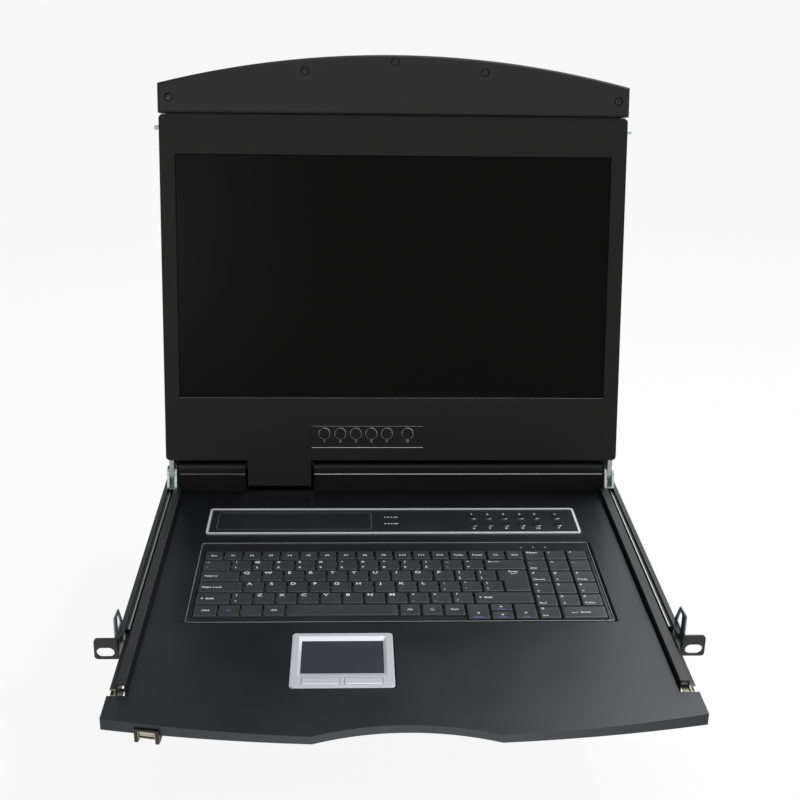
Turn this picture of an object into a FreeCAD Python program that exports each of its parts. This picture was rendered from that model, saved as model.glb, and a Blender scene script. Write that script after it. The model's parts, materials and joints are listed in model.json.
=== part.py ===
import FreeCAD
import Part
import math
import os

# Rackmount LCD console drawer, in millimetres.
# X runs to the right, Y runs into the rack and Z runs up.
# The origin is halfway between the slots of the two front rack ears, on the ears' front faces.

V = FreeCAD.Vector
X_AXIS = V(1, 0, 0)
Y_AXIS = V(0, 1, 0)
Z_AXIS = V(0, 0, 1)
ORIGIN = V(0, 0, 0)

# Rack standard
ear_slot_spacing = 465.1
ear_outer_width = 482.6
ear_slot_length = 14.0
ear_slot_height = 8.6
unit_bottom = -5.9
unit_top = 36.5

# Depth of the drawer, and how far the rails and their rear ears reach past it
drawer_rear = 488.0
rail_past_drawer = 112.0
rear_ear_past_rail = 45.0

# Outer brackets, with the ears folded from their front ends
rail_half_width = 223.9
rail_sheet = 2.0
rail_bend = 1.8
rail_top = 10.0
rail_flange = 4.0
rail_length = drawer_rear + rail_past_drawer
rail_flange_front = 8.0
ear_top = 12.3
ear_corner = 3.0
adjust_slot_length = 28.0
adjust_slot_height = 5.0

# Lock plates beside the ears
lock_plate_sheet = 1.2
lock_plate_front = 2.3
lock_plate_height = 29.0
lock_plate_foot = 14.0
lock_plate_nose = 2.0
lock_plate_crown = 18.5
lock_plate_length = 31.0
lock_window_bottom = 11.2
lock_window_height = 13.0
lock_window_front = 12.5
lock_window_top_length = 6.5
lock_window_length = 14.0
lock_window_corner = 1.5

# Rear brackets
rear_ear_position = rail_length + rear_ear_past_rail
rear_bracket_overlap = 34.0
nut_radius = 4.0
nut_height = 2.4
nut_spread = 9.0

# Sides of small round pieces that repeat, and of the hinge's round pieces
round_sides = 14
ball_sides = 8
shaft_sides = 24

# Ball slides
slide_sheet = 1.2
slide_bottom = -5.4
slide_top = 7.9
slide_outer_front = 22.0
slide_outer_rear_gap = 40.0
slide_outer_length = rail_length - slide_outer_front - slide_outer_rear_gap
slide_outer_depth = 5.1
slide_inner_depth = 5.2
ball_radius = 1.5
ball_groove = 0.3
ball_clearance = 0.05
ball_line = 218.6
ball_count = 3
cage_length = 125.0
cage_sheet = 0.5
cage_web_gap = 0.2
cage_lip = 0.3
cage_end = 6.0
cage_front_gap = 1.0
slide_end_gap = 2.0
slide_tongue = 3.0

# Drawer travel out of the rack, counted from the place where it is drawn
open_travel = 335.0

# Drawer body
channel_inner = 206.9
channel_outer = 214.2
channel_sheet = 1.2
channel_front = -58.3
channel_lift = 1.5
channel_end_gap = 4.0
tray_sheet = 1.2
tray_front = -88.0
tray_lip_inset = 4.0
deck_half_width = 205.0
deck_sheet = 1.2
deck_top = 4.5
palm_rise = 0.6
crease = 34.5
shoulder_half_width = 220.0
shoulder_rear = -65.8
front_corner = -93.5
front_middle = -119.5
front_middle_low = -115.0
apron_bottom = -4.4
apron_wall = 2.0
apron_inside_drop = 0.1
recess_half_width = 68.0
recess_depth = 12.6

# Keyboard
keyboard_left = -174.2
keyboard_right = 174.8
keyboard_front = 36.6
keyboard_rear = 171.6
rim_width = 1.2
rim_height = 0.6
rim_seat = 0.1
rim_corner = 4.0
rim_corner_inside = 3.0
well_reach = 20.0
well_gap = 0.7
key_top = 5.9
key_bottom = 2.6
key_bevel = 0.5
key_travel = 2.0
key_stop = 0.4
base_sheet = 0.8
base_foot = 7.0
base_foot_spread = 150.0
base_foot_inset = 15.0
base_inset = 2.0
base_front_inset = 1.0
key_pitch = 18.57
key_gap = 2.0
key_foot_gap = 0.7
row_pitch = 19.05
first_row = 44.7
key_field_left = -169.5
key_field_right = 113.0
arrow_left = 55.8
arrow_front = 38.6
arrow_width = 17.8
arrow_right_width = 17.2
pad_left = 115.4
pad_pitch = 19.2
pad_row_pitch = 19.9
pad_front = 38.9
pad_columns = 3
pad_rows = 5
main_rows = 5
function_pitch = 16.78
function_depth = 15.6
function_count = 17
number_first = 22.7
upper_first = 32.3
home_first = 36.2
lower_first = 27.4
letter_count = 12
lower_letter_count = 11
space_left = -93.5
space_width = 91.7
bottom_left_widths = [18.4, 16.5, 16.5, 16.6]
bottom_right_widths = [16.4, 16.5, 16.6]

# Touchpad
bezel_left = -86.9
bezel_right = -7.2
bezel_front = -58.3
bezel_rear = 17.6
bezel_corner = 3.0
bezel_height = 1.0
bezel_bevel = 0.7
bezel_lap = 1.2
pad_width = 64.2
pad_depth = 45.6
pad_centre_x = -47.1
pad_centre_y = -13.9
pad_drop = 1.2
pad_slope_side = 2.2
pad_slope_rear = 3.6
pad_slope_front = 6.8
touch_button_width = 28.6
touch_button_depth = 9.4
touch_button_gap = 4.0
touch_button_y = -49.9
touch_button_travel = 0.8
touch_button_bevel = 0.4
touch_button_seat = 0.1
touch_board_sheet = 1.2
touch_board_gap = 0.5
touch_divider_rise = 0.3
button_clearance = 0.3

# Port panel
panel_left = -174.4
panel_right = 174.0
panel_front = 190.6
panel_rear = 242.2
panel_stroke = 2.2
panel_height = 1.1
panel_corner = 3.0
dome_radius = 4.7
dome_rim = 0.2
dome_height = 0.8
dome_slope = 1.5
dome_clearance = 0.2
button_seat = 0.1
overlay_proud = 0.4
dome_columns = [74.8, 89.8, 105.2, 120.6, 135.2, 154.8]
dome_rows = [223.3, 208.5]

# Front USB socket
usb_x = -186.0
usb_width = 13.1
usb_height = 5.7
usb_depth = 14.0
usb_wall = 0.5
usb_top = -1.2
usb_cheek = 2.6
usb_cheek_drop = 9.3
usb_cheek_foot = 3.5
usb_cheek_rear_gap = 3.0
usb_holder_front = 0.8
usb_holder_roof = 1.6
usb_holder_wall = 1.0
usb_holder_floor = 0.2
usb_shell_front = 0.5
usb_tongue_inset = 1.1
usb_tongue_front = 0.6
usb_tongue_low = -2.7
usb_tongue_high = -0.9

# Rear module
module_front = 283.0
module_half_width = 210.4
module_rear_half_width = 219.0
module_step = 316.0
shelf_top = 23.3
module_sheet = 1.2
notch_left = -143.8
notch_right = -77.2
notch_rear = 304.0
notch_lift = 0.5
bar_radius = 5.4
bar_centre_y = 288.4
bar_centre_z = 28.7
bar_left = -209.0
bar_right = 209.0

# Rear sockets, inlet and switch
port_count = 8
port_pitch = 34.0
port_first = -150.0
port_shell_width = 16.0
port_shell_height = 8.0
port_shell_bottom = 8.0
port_shell_reach = 5.0
port_block_width = 30.0
port_block_height = 12.0
board_top = 4.0
board_sheet = 1.6
board_front = 350.0
board_margin = 5.0
board_rear_gap = 1.0
pillar_half = 3.0
pillar_inset = 8.0
pillar_rows = [360.0, 460.0]
port_block_front = 470.0
port_block_seat = 0.2
port_shell_taper = 10.0
port_cut_gap = 0.2
inlet_x = 186.0
inlet_width = 27.0
inlet_height = 20.0
inlet_bottom = 9.0
inlet_wall = 2.0
inlet_depth = 17.0
inlet_reach = 1.5
inlet_pin = 1.8
inlet_pin_height = 4.0
inlet_pin_end = 3.0
inlet_pin_places = [(-7, 11), (7, 11), (0, 14)]
switch_x = 152.0
switch_z = 19.0
switch_width = 13.0
switch_height = 19.0
switch_rock = 14.0
switch_pivot = 5.0
switch_proud = 2.2
switch_dip = 1.0
switch_clearance = 0.8
switch_body_depth = 2.0
switch_body_inset = 3.0
switch_edge = 0.5
switch_pin_radius = 1.5
switch_pin_reach = 1.5
supply_front = 350.0
supply_left = 128.0
supply_right = 204.0
supply_rear_gap = 30.0
supply_top = 30.0

# Hinge
hinge_y = 287.2
hinge_z = 22.6
hinge_pin_radius = 4.0
hinge_clearance = 0.05
hinge_lug_radius = 6.5
hinge_cheek_radius = 7.2
hinge_inner = 211.0
cheek_sheet = 2.2
hinge_foot_front = 13.0
hinge_foot_rear = 21.0
hinge_foot_sheet = 2.2
hinge_foot_lift = 0.8
hinge_web_front = 1.0
hinge_web_rear = 14.0
arm_width = 4.4
arm_flange_width = 24.0
arm_flange_sheet = 1.6
arm_low = 3.0
arm_back_low = 4.0
arm_high = 42.0
arm_web_top = 5.0
pin_head = 0.1
side_gap = 0.3

# LCD, measured in its own plane: across, up from its lower edge, and depth behind its front face
lcd_tilt = 12.0
lcd_width = 441.0
lcd_height = 329.7
lcd_thickness = 25.0
lcd_foot_y = 279.0
lcd_foot_z = 39.7
lcd_sheet = 1.5
lcd_wall = 1.2
lcd_corner = 4.0
bezel_depth = 9.0
window_width = 412.5
window_height = 232.0
window_bottom = 61.5
display_width = 430.4
display_height = 254.6
display_depth = 10.0
tab_left = -141.2
tab_right = -79.6
tab_drop = 25.4
back_bevel = 3.0
back_bevel_inside = 2.6
osd_opening_inset = 5.0
osd_opening_half = 6.5

# Cooling slots
vent_width = 4.0
tray_vent_first = -120.0
tray_vent_pitch = 40.0
tray_vent_count = 7
tray_vent_y = 388.0
tray_vent_length = 24.0
cover_vent_first = -160.0
cover_vent_pitch = 20.0
cover_vent_count = 9
cover_vent_y = 395.0
cover_vent_length = 50.0
lcd_vent_low = 40.0
lcd_vent_high = 300.0
lcd_vent_pitch = 44.0
lcd_vent_count = 8
lcd_vent_length = 20.0

# LCD handle
handle_width = 442.0
handle_bottom = 331.0
handle_corner = 358.0
handle_peak = 385.5
handle_proud = 2.5
handle_round = 2.0
handle_edge = 0.6
handle_edge_depth = 0.7
neck_inset = 6.0
neck_rear_gap = 4.0
neck_lap = 1.0
groove_depth = 3.0
screw_radius = 3.2
screw_recess = 2.4
screw_head = 1.7
screw_socket = 1.4
screw_socket_depth = 1.0
screw_clearance = 0.8
screw_places = [(-210.6, 345.2), (-84.0, 370.2), (0.0, 379.1), (84.0, 370.2), (210.6, 345.2)]

# LCD buttons
osd_left = -80.1
osd_right = 31.1
osd_bottom = 12.6
osd_top = 34.3
osd_height = 0.8
osd_corner = 3.0
osd_button_radius = 5.2
osd_button_proud = 0.9
osd_button_bevel = 0.5
osd_button_seat = 3.5
osd_clearance = 0.2
osd_button_v = 26.8
osd_button_places = [-66.5, -51.0, -35.8, -20.7, -5.5, 14.6]

# Lock pins in the LCD's sides
lock_pin_v = 317.5
lock_pin_radius = 2.0
lock_pin_depth = 5.5
lock_pin_reach = 225.3
lock_pin_inner = 202.0
lock_pin_clearance = 0.05
lock_pin_tip = 0.7
guide_front = 2.0
guide_length = 5.0
guide_half_height = 4.0
guide_seat = 0.2


def box(x0, x1, y0, y1, z0, z1):
    return Part.makeBox(x1 - x0, y1 - y0, z1 - z0, V(x0, y0, z0))


def polygon_face(points):
    return Part.Face(Part.makePolygon(points + [points[0]]))


def prism_along_y(outline, y0, y1):
    face = polygon_face([V(x, y0, z) for x, z in outline])
    return face.extrude(V(0, y1 - y0, 0))


def prism_along_x(outline, x0, x1):
    face = polygon_face([V(x0, y, z) for y, z in outline])
    return face.extrude(V(x1 - x0, 0, 0))


def rounded_wire(x0, x1, y0, y1, z, radius):
    """Rectangle with round corners in the plane at height z."""
    k = radius * (1 - math.sqrt(0.5))
    corners = [
        (V(x1 - radius, y0, z), V(x1 - k, y0 + k, z), V(x1, y0 + radius, z)),
        (V(x1, y1 - radius, z), V(x1 - k, y1 - k, z), V(x1 - radius, y1, z)),
        (V(x0 + radius, y1, z), V(x0 + k, y1 - k, z), V(x0, y1 - radius, z)),
        (V(x0, y0 + radius, z), V(x0 + k, y0 + k, z), V(x0 + radius, y0, z)),
    ]
    edges = []
    for index, (start, middle, end) in enumerate(corners):
        edges.append(Part.Arc(start, middle, end).toShape())
        following = corners[(index + 1) % 4][0]
        edges.append(Part.LineSegment(end, following).toShape())
    return Part.Wire(edges)


def rounded_plate(x0, x1, y0, y1, z0, z1, radius):
    face = Part.Face(rounded_wire(x0, x1, y0, y1, z0, radius))
    return face.extrude(V(0, 0, z1 - z0))


def stand_up(shape):
    """Turn a plate drawn in X and Y, with its thickness along Z, to stand in X and Z facing forward."""
    turned = shape.copy()
    turned.rotate(ORIGIN, X_AXIS, 90)
    return turned


def cylinder_along(axis, centre, radius, length):
    """Cylinder from its centre point outwards along the axis by its length."""
    return Part.makeCylinder(radius, length, centre, axis)


def spaced(first, pitch, count):
    return [first + pitch * index for index in range(count)]


def fused(shapes):
    result = shapes[0]
    if len(shapes) > 1:
        result = result.fuse(shapes[1:])
    return result.removeSplitter()


def slot_through_y(x, z, length, height, y0, y1):
    """Horizontal slot with round ends, cut along Y."""
    radius = height / 2
    offset = (length - height) / 2
    middle = box(x - offset, x + offset, y0, y1, z - radius, z + radius)
    ends = [
        cylinder_along(Y_AXIS, V(x + side * offset, y0, z), radius, y1 - y0)
        for side in (-1, 1)
    ]
    return fused([middle] + ends)


def slot_through_x(y, z, length, height, x0, x1):
    """Slot with round ends that runs along Y and is cut along X."""
    radius = height / 2
    offset = (length - height) / 2
    middle = box(x0, x1, y - offset, y + offset, z - radius, z + radius)
    ends = [
        cylinder_along(X_AXIS, V(x0, y + side * offset, z), radius, x1 - x0)
        for side in (-1, 1)
    ]
    return fused([middle] + ends)


def rack_ear(web_inner, y_front, y_back):
    """Ear plate that reaches out from the bracket's web, with its rounded corners and its slot."""
    outer = ear_outer_width / 2
    plate = box(web_inner, outer, y_front, y_back, unit_bottom, ear_top)
    corners = [
        edge for edge in plate.Edges
        if abs(edge.BoundBox.XMin - outer) < 0.01 and edge.BoundBox.XLength < 0.01
        and edge.BoundBox.ZLength < 0.01
    ]
    plate = plate.makeFillet(ear_corner, corners)
    slot = slot_through_y(ear_slot_spacing / 2, 0, ear_slot_length, ear_slot_height,
                          y_front - 1, y_back + 1)
    return plate.cut(slot)


def outer_bracket():
    web_inner = rail_half_width - rail_sheet
    web = box(web_inner, rail_half_width, 0, rail_length, unit_bottom, rail_top)
    flange = box(rail_half_width - rail_flange, rail_half_width, rail_flange_front, rail_length,
                 rail_top - rail_sheet, rail_top)
    ear = rack_ear(web_inner, 0, rail_sheet)
    bracket = fused([web, flange, ear])
    bend = [
        edge for edge in bracket.Edges
        if edge.BoundBox.XLength < 0.01 and edge.BoundBox.YLength < 0.01
        and abs(edge.BoundBox.XMin - web_inner) < 0.01 and abs(edge.BoundBox.YMin) < 0.01
    ]
    bracket = bracket.makeFillet(rail_bend, bend)
    slot = slot_through_x(rail_length - rear_bracket_overlap / 2, (rail_top + unit_bottom) / 2,
                          adjust_slot_length, adjust_slot_height, web_inner - 1,
                          rail_half_width + 1)
    return bracket.cut(slot)


def lock_plate():
    """Upright plate on the bracket's outside, with a window for the side pin of the LCD."""
    base = rail_top - lock_plate_foot
    slope_top = (lock_plate_front + lock_plate_crown, lock_plate_height - lock_plate_nose)
    slope_foot = (lock_plate_front + lock_plate_length, rail_top - lock_plate_nose)
    outline = [
        (lock_plate_front, base),
        (lock_plate_front, lock_plate_height),
        slope_top,
        slope_foot,
        (slope_foot[0], base),
    ]
    x0 = rail_half_width
    x1 = rail_half_width + lock_plate_sheet
    plate = prism_along_x(outline, x0, x1)
    window_top = lock_window_bottom + lock_window_height
    window = prism_along_x([
        (lock_window_front, lock_window_bottom),
        (lock_window_front, window_top),
        (lock_window_front + lock_window_top_length, window_top),
        (lock_window_front + lock_window_length, lock_window_bottom),
    ], x0 - 1, x1 + 1)
    upright = [edge for edge in window.Edges if edge.BoundBox.XLength > lock_plate_sheet]
    window = window.makeFillet(lock_window_corner, upright)
    return plate.cut(window)


def rear_bracket():
    """Rear ear on an arm that is bolted inside the outer bracket's rear end."""
    outer = rail_half_width - rail_sheet
    inner = outer - rail_sheet
    start = rail_length - rear_bracket_overlap
    arm = box(inner, outer, start, rear_ear_position, unit_bottom, rail_top - rail_sheet)
    ear = rack_ear(inner, rear_ear_position - rail_sheet, rear_ear_position)
    middle = (rail_top + unit_bottom) / 2
    nuts = []
    for offset in (-nut_spread, nut_spread):
        y = start + rear_bracket_overlap / 2 + offset
        outline = [(y + dy, middle + dz) for dy, dz in circle_points(nut_radius, 6)]
        nuts.append(prism_along_x(outline, inner - nut_height, inner))
    return fused([arm, ear] + nuts)


def ball_heights():
    upper = slide_top - slide_sheet + ball_groove - ball_radius
    lower = slide_bottom + slide_sheet - ball_groove + ball_radius
    return upper, lower


def ball_tracks(y0, y1):
    """Round tracks that both slide members are cut with."""
    radius = ball_radius + ball_clearance
    return [
        cylinder_along(Y_AXIS, V(ball_line, y0, height), radius, y1 - y0)
        for height in ball_heights()
    ]


def slide_outer():
    outer = rail_half_width - rail_sheet
    inner = outer - slide_outer_depth
    y0 = slide_outer_front
    y1 = slide_outer_front + slide_outer_length
    web = box(outer - slide_sheet, outer, y0, y1, slide_bottom, slide_top)
    upper = box(inner, outer, y0, y1, slide_top - slide_sheet, slide_top)
    lower = box(inner, outer, y0, y1, slide_bottom, slide_bottom + slide_sheet)
    member = fused([web, upper, lower])
    for track in ball_tracks(y0 - 1, y1 + 1):
        member = member.cut(track)
    return member


def slide_inner():
    upper_ball, lower_ball = ball_heights()
    top = upper_ball - ball_radius + ball_groove
    bottom = lower_ball + ball_radius - ball_groove
    x0 = channel_outer
    x1 = channel_outer + slide_inner_depth
    y0 = shoulder_rear + side_gap
    y1 = drawer_rear - slide_end_gap
    web = box(x0, x0 + slide_sheet, y0, y1, bottom, top)
    upper = box(x0, x1, channel_front + slide_end_gap, y1, top - slide_sheet, top)
    lower = box(x0, x1, channel_front + slide_end_gap, y1, bottom, bottom + slide_sheet)
    fold_inner = channel_inner + channel_sheet + side_gap
    fold = box(fold_inner, x0 + slide_sheet, y0, y0 + slide_sheet, bottom, top)
    tongue = box(fold_inner, channel_outer - channel_sheet - side_gap, y0,
                 channel_front + slide_tongue,
                 top - slide_sheet, top)
    member = fused([web, upper, lower, fold, tongue])
    for track in ball_tracks(y0 - 1, y1 + 1):
        member = member.cut(track)
    return member


def cage_start():
    """Front end of the cage in the place where the drawer is drawn."""
    fully_out = slide_outer_front + cage_front_gap
    return fully_out + open_travel / 2


def skinned(rings):
    """Solid with flat sides between rings of points that stand above each other."""
    faces = [polygon_face(rings[0]), polygon_face(rings[-1])]
    for lower, upper in zip(rings, rings[1:]):
        for k, point in enumerate(lower):
            after = (k + 1) % len(lower)
            faces.append(polygon_face([point, lower[after], upper[after], upper[k]]))
    shell = Part.makeShell(faces)
    shell.sewShape()
    solid = Part.makeSolid(shell)
    if solid.Volume < 0:
        solid.reverse()
    return solid


def circle_points(radius, sides):
    """Corners of a regular outline about the origin, as pairs."""
    step = 2 * math.pi / sides
    return [(radius * math.cos(k * step), radius * math.sin(k * step)) for k in range(sides)]


def round_stack(x, y, levels, sides=round_sides):
    """Round body through rings given as pairs of height and radius, with few sides as it repeats."""
    return skinned([
        [V(x + dx, y + dy, z) for dx, dy in circle_points(radius, sides)]
        for z, radius in levels
    ])


def shaft_along_x(x0, x1, y, z, radius, sides=shaft_sides):
    """Round piece of the hinge or of a pin, from x0 to x1."""
    outline = [(y + dy, z + dz) for dy, dz in circle_points(radius, sides)]
    return prism_along_x(outline, x0, x1)


def ball(centre):
    """Steel ball in bands, with its poles up and down."""
    levels = [
        (centre.z + ball_radius * math.sin(angle), ball_radius * math.cos(angle))
        for angle in [math.radians(-72 + 36 * band) for band in range(5)]
    ]
    return round_stack(centre.x, centre.y, levels, ball_sides)


def ball_cage():
    y0 = cage_start()
    y1 = y0 + cage_length
    upper_ball, lower_ball = ball_heights()
    web_outer = rail_half_width - rail_sheet - slide_sheet - cage_web_gap
    strip_inner = ball_line - ball_radius - cage_lip
    web = box(web_outer - cage_sheet, web_outer, y0, y1, lower_ball - cage_sheet / 2,
              upper_ball + cage_sheet / 2)
    pieces = [web]
    for height in (upper_ball, lower_ball):
        pieces.append(box(strip_inner, web_outer, y0, y1, height - cage_sheet / 2,
                          height + cage_sheet / 2))
        spacing = (cage_length - 2 * cage_end) / (ball_count - 1)
        for y in spaced(y0 + cage_end, spacing, ball_count):
            pieces.append(ball(V(ball_line, y, height)))
    return fused(pieces)


def side_channel():
    """Sheet folded as an upside-down U beside the tray. It carries the slide's inner member."""
    s = channel_sheet
    low = unit_bottom + channel_lift
    outline = [
        (channel_inner, low), (channel_inner, rail_top), (channel_outer, rail_top),
        (channel_outer, low), (channel_outer - s, low), (channel_outer - s, rail_top - s),
        (channel_inner + s, rail_top - s), (channel_inner + s, low),
    ]
    return prism_along_y(outline, channel_front, drawer_rear - channel_end_gap)


def base_tray():
    """Folded steel tray: floor, side walls and a rear wall."""
    half = channel_inner
    floor_top = unit_bottom + tray_sheet
    wall_top = deck_top - deck_sheet
    floor = box(-half, half, shoulder_rear + apron_wall, drawer_rear, unit_bottom, floor_top)
    lip_half = half - tray_lip_inset
    lip = box(-lip_half, lip_half, tray_front, shoulder_rear + apron_wall, unit_bottom, floor_top)
    sides = [
        box(x, x + tray_sheet, shoulder_rear + apron_wall, module_front, unit_bottom, wall_top)
        for x in (-half, half - tray_sheet)
    ]
    front = box(-lip_half, lip_half, tray_front, tray_front + tray_sheet, unit_bottom,
                deck_top + palm_rise - deck_sheet)
    tray = fused([floor, lip, front] + sides)
    vents = [
        box(x - vent_width / 2, x + vent_width / 2, tray_vent_y, tray_vent_y + tray_vent_length,
            unit_bottom - 1, floor_top + 1)
        for x in spaced(tray_vent_first, tray_vent_pitch, tray_vent_count)
    ]
    for vent in vents:
        tray = tray.cut(vent)
    return tray.cut(usb_place(usb_envelope(side_gap)))


def arc_height(x, middle, corner, half):
    """Y of the front arc at x, for an arc through its middle and both its corners."""
    rise = corner - middle
    radius = (half * half + rise * rise) / (2 * rise)
    return middle + radius - math.sqrt(radius * radius - x * x)


def front_wire(half, rear_half, rear, step, middle, corner, recess, depth, z):
    """Outline of the palm rest: shoulders, curved front edge and the finger recess."""
    def on_arc(x):
        return V(x, arc_height(x, middle, corner, half), z)

    left = on_arc(-half)
    right = on_arc(half)
    recess_left = on_arc(-recess)
    recess_right = on_arc(recess)
    bottom = V(0, recess_left.y + depth, z)
    straight = [right, V(half, step, z), V(rear_half, step, z), V(rear_half, rear, z),
                V(-rear_half, rear, z), V(-rear_half, step, z), V(-half, step, z), left]
    edges = [Part.LineSegment(a, b).toShape() for a, b in zip(straight, straight[1:])]
    middle_left = on_arc(-(half + recess) / 2)
    middle_right = on_arc((half + recess) / 2)
    edges.append(Part.Arc(left, middle_left, recess_left).toShape())
    edges.append(Part.Arc(recess_left, bottom, recess_right).toShape())
    edges.append(Part.Arc(recess_right, middle_right, right).toShape())
    return Part.Wire(edges)


def keyboard_deck():
    """Top plate around the keyboard, and the moulded palm rest with its curved apron."""
    palm_top = deck_top + palm_rise
    rear_plate = box(-deck_half_width, deck_half_width, crease - deck_sheet, module_front - side_gap,
                     deck_top - deck_sheet, deck_top)
    outer = Part.makeLoft([
        front_wire(shoulder_half_width, deck_half_width, crease, shoulder_rear, front_middle,
                   front_corner, recess_half_width, recess_depth, palm_top),
        front_wire(shoulder_half_width, deck_half_width, crease, shoulder_rear, front_middle_low,
                   front_corner, recess_half_width, recess_depth, apron_bottom),
    ], True, True)
    wall = apron_wall
    inner = Part.makeLoft([
        front_wire(shoulder_half_width - wall, deck_half_width - wall, crease, shoulder_rear - wall,
                   front_middle + wall, front_corner + wall, recess_half_width + wall,
                   recess_depth, palm_top - deck_sheet),
        front_wire(shoulder_half_width - wall, deck_half_width - wall, crease, shoulder_rear - wall,
                   front_middle_low + wall, front_corner + wall, recess_half_width + wall,
                   recess_depth, apron_bottom - apron_inside_drop),
    ], True, True)
    behind = box(-deck_half_width - 1, deck_half_width + 1, shoulder_rear, crease + 1,
                 apron_bottom - 1, palm_top - deck_sheet)
    palm = outer.cut(inner).cut(behind)
    deck = fused([palm, rear_plate])
    keyboard = box(keyboard_left, keyboard_right, keyboard_front, keyboard_rear, 0, palm_top + 1)
    panel = box(panel_left + panel_stroke, panel_right - panel_stroke, panel_front + panel_stroke,
                panel_rear - panel_stroke, 0, palm_top + 1)
    touch = touch_cavity(0, palm_top + 1)
    deck = deck.cut(keyboard).cut(panel).cut(touch)
    return deck.cut(usb_place(usb_envelope(side_gap)))


def keyboard_frame():
    """Moulded surround of the keys, with a raised rim and a key well that steps round the arrows."""
    base = key_bottom - key_travel - key_stop
    body = box(keyboard_left, keyboard_right, keyboard_front, keyboard_rear, base,
               deck_top + rim_seat)
    rim_outer = rounded_plate(keyboard_left - rim_width, keyboard_right + rim_width,
                              keyboard_front - rim_width, keyboard_rear + rim_width,
                              deck_top, deck_top + rim_height, rim_corner)
    rim_inner = rounded_plate(keyboard_left, keyboard_right, keyboard_front, keyboard_rear,
                              deck_top + rim_seat, deck_top + rim_height + 1,
                              rim_corner_inside)
    rim = rim_outer.cut(rim_inner)
    slope = (key_gap - key_foot_gap) / 2
    well_rear = function_row_front() + function_depth + well_gap
    left = key_field_left - slope - well_gap
    right = pad_left + pad_columns * pad_pitch - key_gap + slope + well_gap
    step = arrow_left - slope - well_gap
    main_front = first_row - well_gap
    low_front = arrow_front - well_gap
    outline = [
        V(left, main_front, base), V(step, main_front, base), V(step, low_front, base),
        V(right, low_front, base), V(right, well_rear, base), V(left, well_rear, base),
    ]
    well = polygon_face(outline).extrude(V(0, 0, well_reach))
    return fused([body, rim]).cut(well)


def keyboard_base():
    """Steel plate under the keys, on short feet that stand on the tray."""
    top = key_bottom - key_travel - key_stop
    plate = box(keyboard_left + base_inset, keyboard_right - base_inset,
                keyboard_front + base_front_inset, keyboard_rear - base_inset,
                top - base_sheet, top)
    feet = [
        box(x - base_foot / 2, x + base_foot / 2, y - base_foot / 2, y + base_foot / 2,
            unit_bottom + tray_sheet, top - base_sheet)
        for x in (-base_foot_spread, 0, base_foot_spread)
        for y in (keyboard_front + base_foot_inset, keyboard_rear - base_foot_inset)
    ]
    return fused([plate] + feet)


def key_cap(x0, x1, y0, y1):
    """Key with sloped sides and a bevelled top. The given outline is that of its foot."""
    def section(inset, z):
        return [V(x0 + inset, y0 + inset, z), V(x1 - inset, y0 + inset, z),
                V(x1 - inset, y1 - inset, z), V(x0 + inset, y1 - inset, z)]

    slope = (key_gap - key_foot_gap) / 2
    sections = [section(0, key_bottom), section(slope, key_top - key_bevel),
                section(slope + key_bevel, key_top)]
    return skinned(sections)


def key_row(left, y, depth, widths):
    """Keys side by side. Widths are those of the upper faces, with a gap between them."""
    slope = (key_gap - key_foot_gap) / 2
    keys = []
    x = left
    for width in widths:
        keys.append(key_cap(x - slope, x + width + slope, y, y + depth))
        x += width + key_gap
    return keys


def row_front(index):
    return first_row + index * row_pitch


def function_row_front():
    return row_front(main_rows)


def main_depth():
    return row_pitch - key_foot_gap


def letters(count):
    return [key_pitch - key_gap] * count


def row_with_ends(first_width, count, last):
    """Widths of a row: a first key, a run of letter keys and a last key up to the field's edge."""
    widths = [first_width] + letters(count)
    if last:
        used = sum(widths) + key_gap * len(widths)
        widths.append(key_field_right - key_field_left - used)
    return widths


def function_keys():
    widths = [function_pitch - key_gap] * function_count
    return Part.makeCompound(key_row(key_field_left, function_row_front(), function_depth, widths))


def number_keys():
    return Part.makeCompound(
        key_row(key_field_left, row_front(main_rows - 1), main_depth(),
                row_with_ends(number_first, letter_count, True)))


def upper_keys():
    return Part.makeCompound(
        key_row(key_field_left, row_front(3), main_depth(),
                row_with_ends(upper_first, letter_count, False)))


def home_keys():
    """Home row, with the tall Enter key that also reaches up beside the upper row."""
    caps = key_row(key_field_left, row_front(2), main_depth(),
                   row_with_ends(home_first, letter_count, False))
    slope = (key_gap - key_foot_gap) / 2
    lower_left = key_field_left + home_first + letter_count * key_pitch + key_gap - slope
    upper_left = key_field_left + upper_first + letter_count * key_pitch + key_gap - slope
    right = key_field_right + slope
    tall = key_cap(lower_left, right, row_front(2), row_front(3) + main_depth())
    wide = key_cap(upper_left, right, row_front(3), row_front(3) + main_depth())
    return Part.makeCompound(caps + [fused([tall, wide])])


def lower_keys():
    return Part.makeCompound(
        key_row(key_field_left, row_front(1), main_depth(),
                row_with_ends(lower_first, lower_letter_count, True)))


def bottom_keys():
    left = key_row(key_field_left, row_front(0), main_depth(), bottom_left_widths)
    right = key_row(space_left + space_width + key_gap, row_front(0), main_depth(),
                    bottom_right_widths)
    return Part.makeCompound(left + right)


def space_bar():
    return key_row(space_left, row_front(0), main_depth(), [space_width])[0]


def arrow_keys():
    slope = (key_gap - key_foot_gap) / 2
    width = arrow_width
    rear = row_front(1) - key_foot_gap
    left = arrow_left
    middle = left + width + key_gap
    right = middle + width + key_gap
    centre = (arrow_front + rear) / 2
    half_gap = key_foot_gap / 2
    return Part.makeCompound([
        key_cap(left - slope, left + width + slope, arrow_front, rear),
        key_cap(middle - slope, middle + width + slope, arrow_front, centre - half_gap),
        key_cap(middle - slope, middle + width + slope, centre + half_gap, rear),
        key_cap(right - slope, right + arrow_right_width + slope, arrow_front, rear),
    ])


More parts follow.
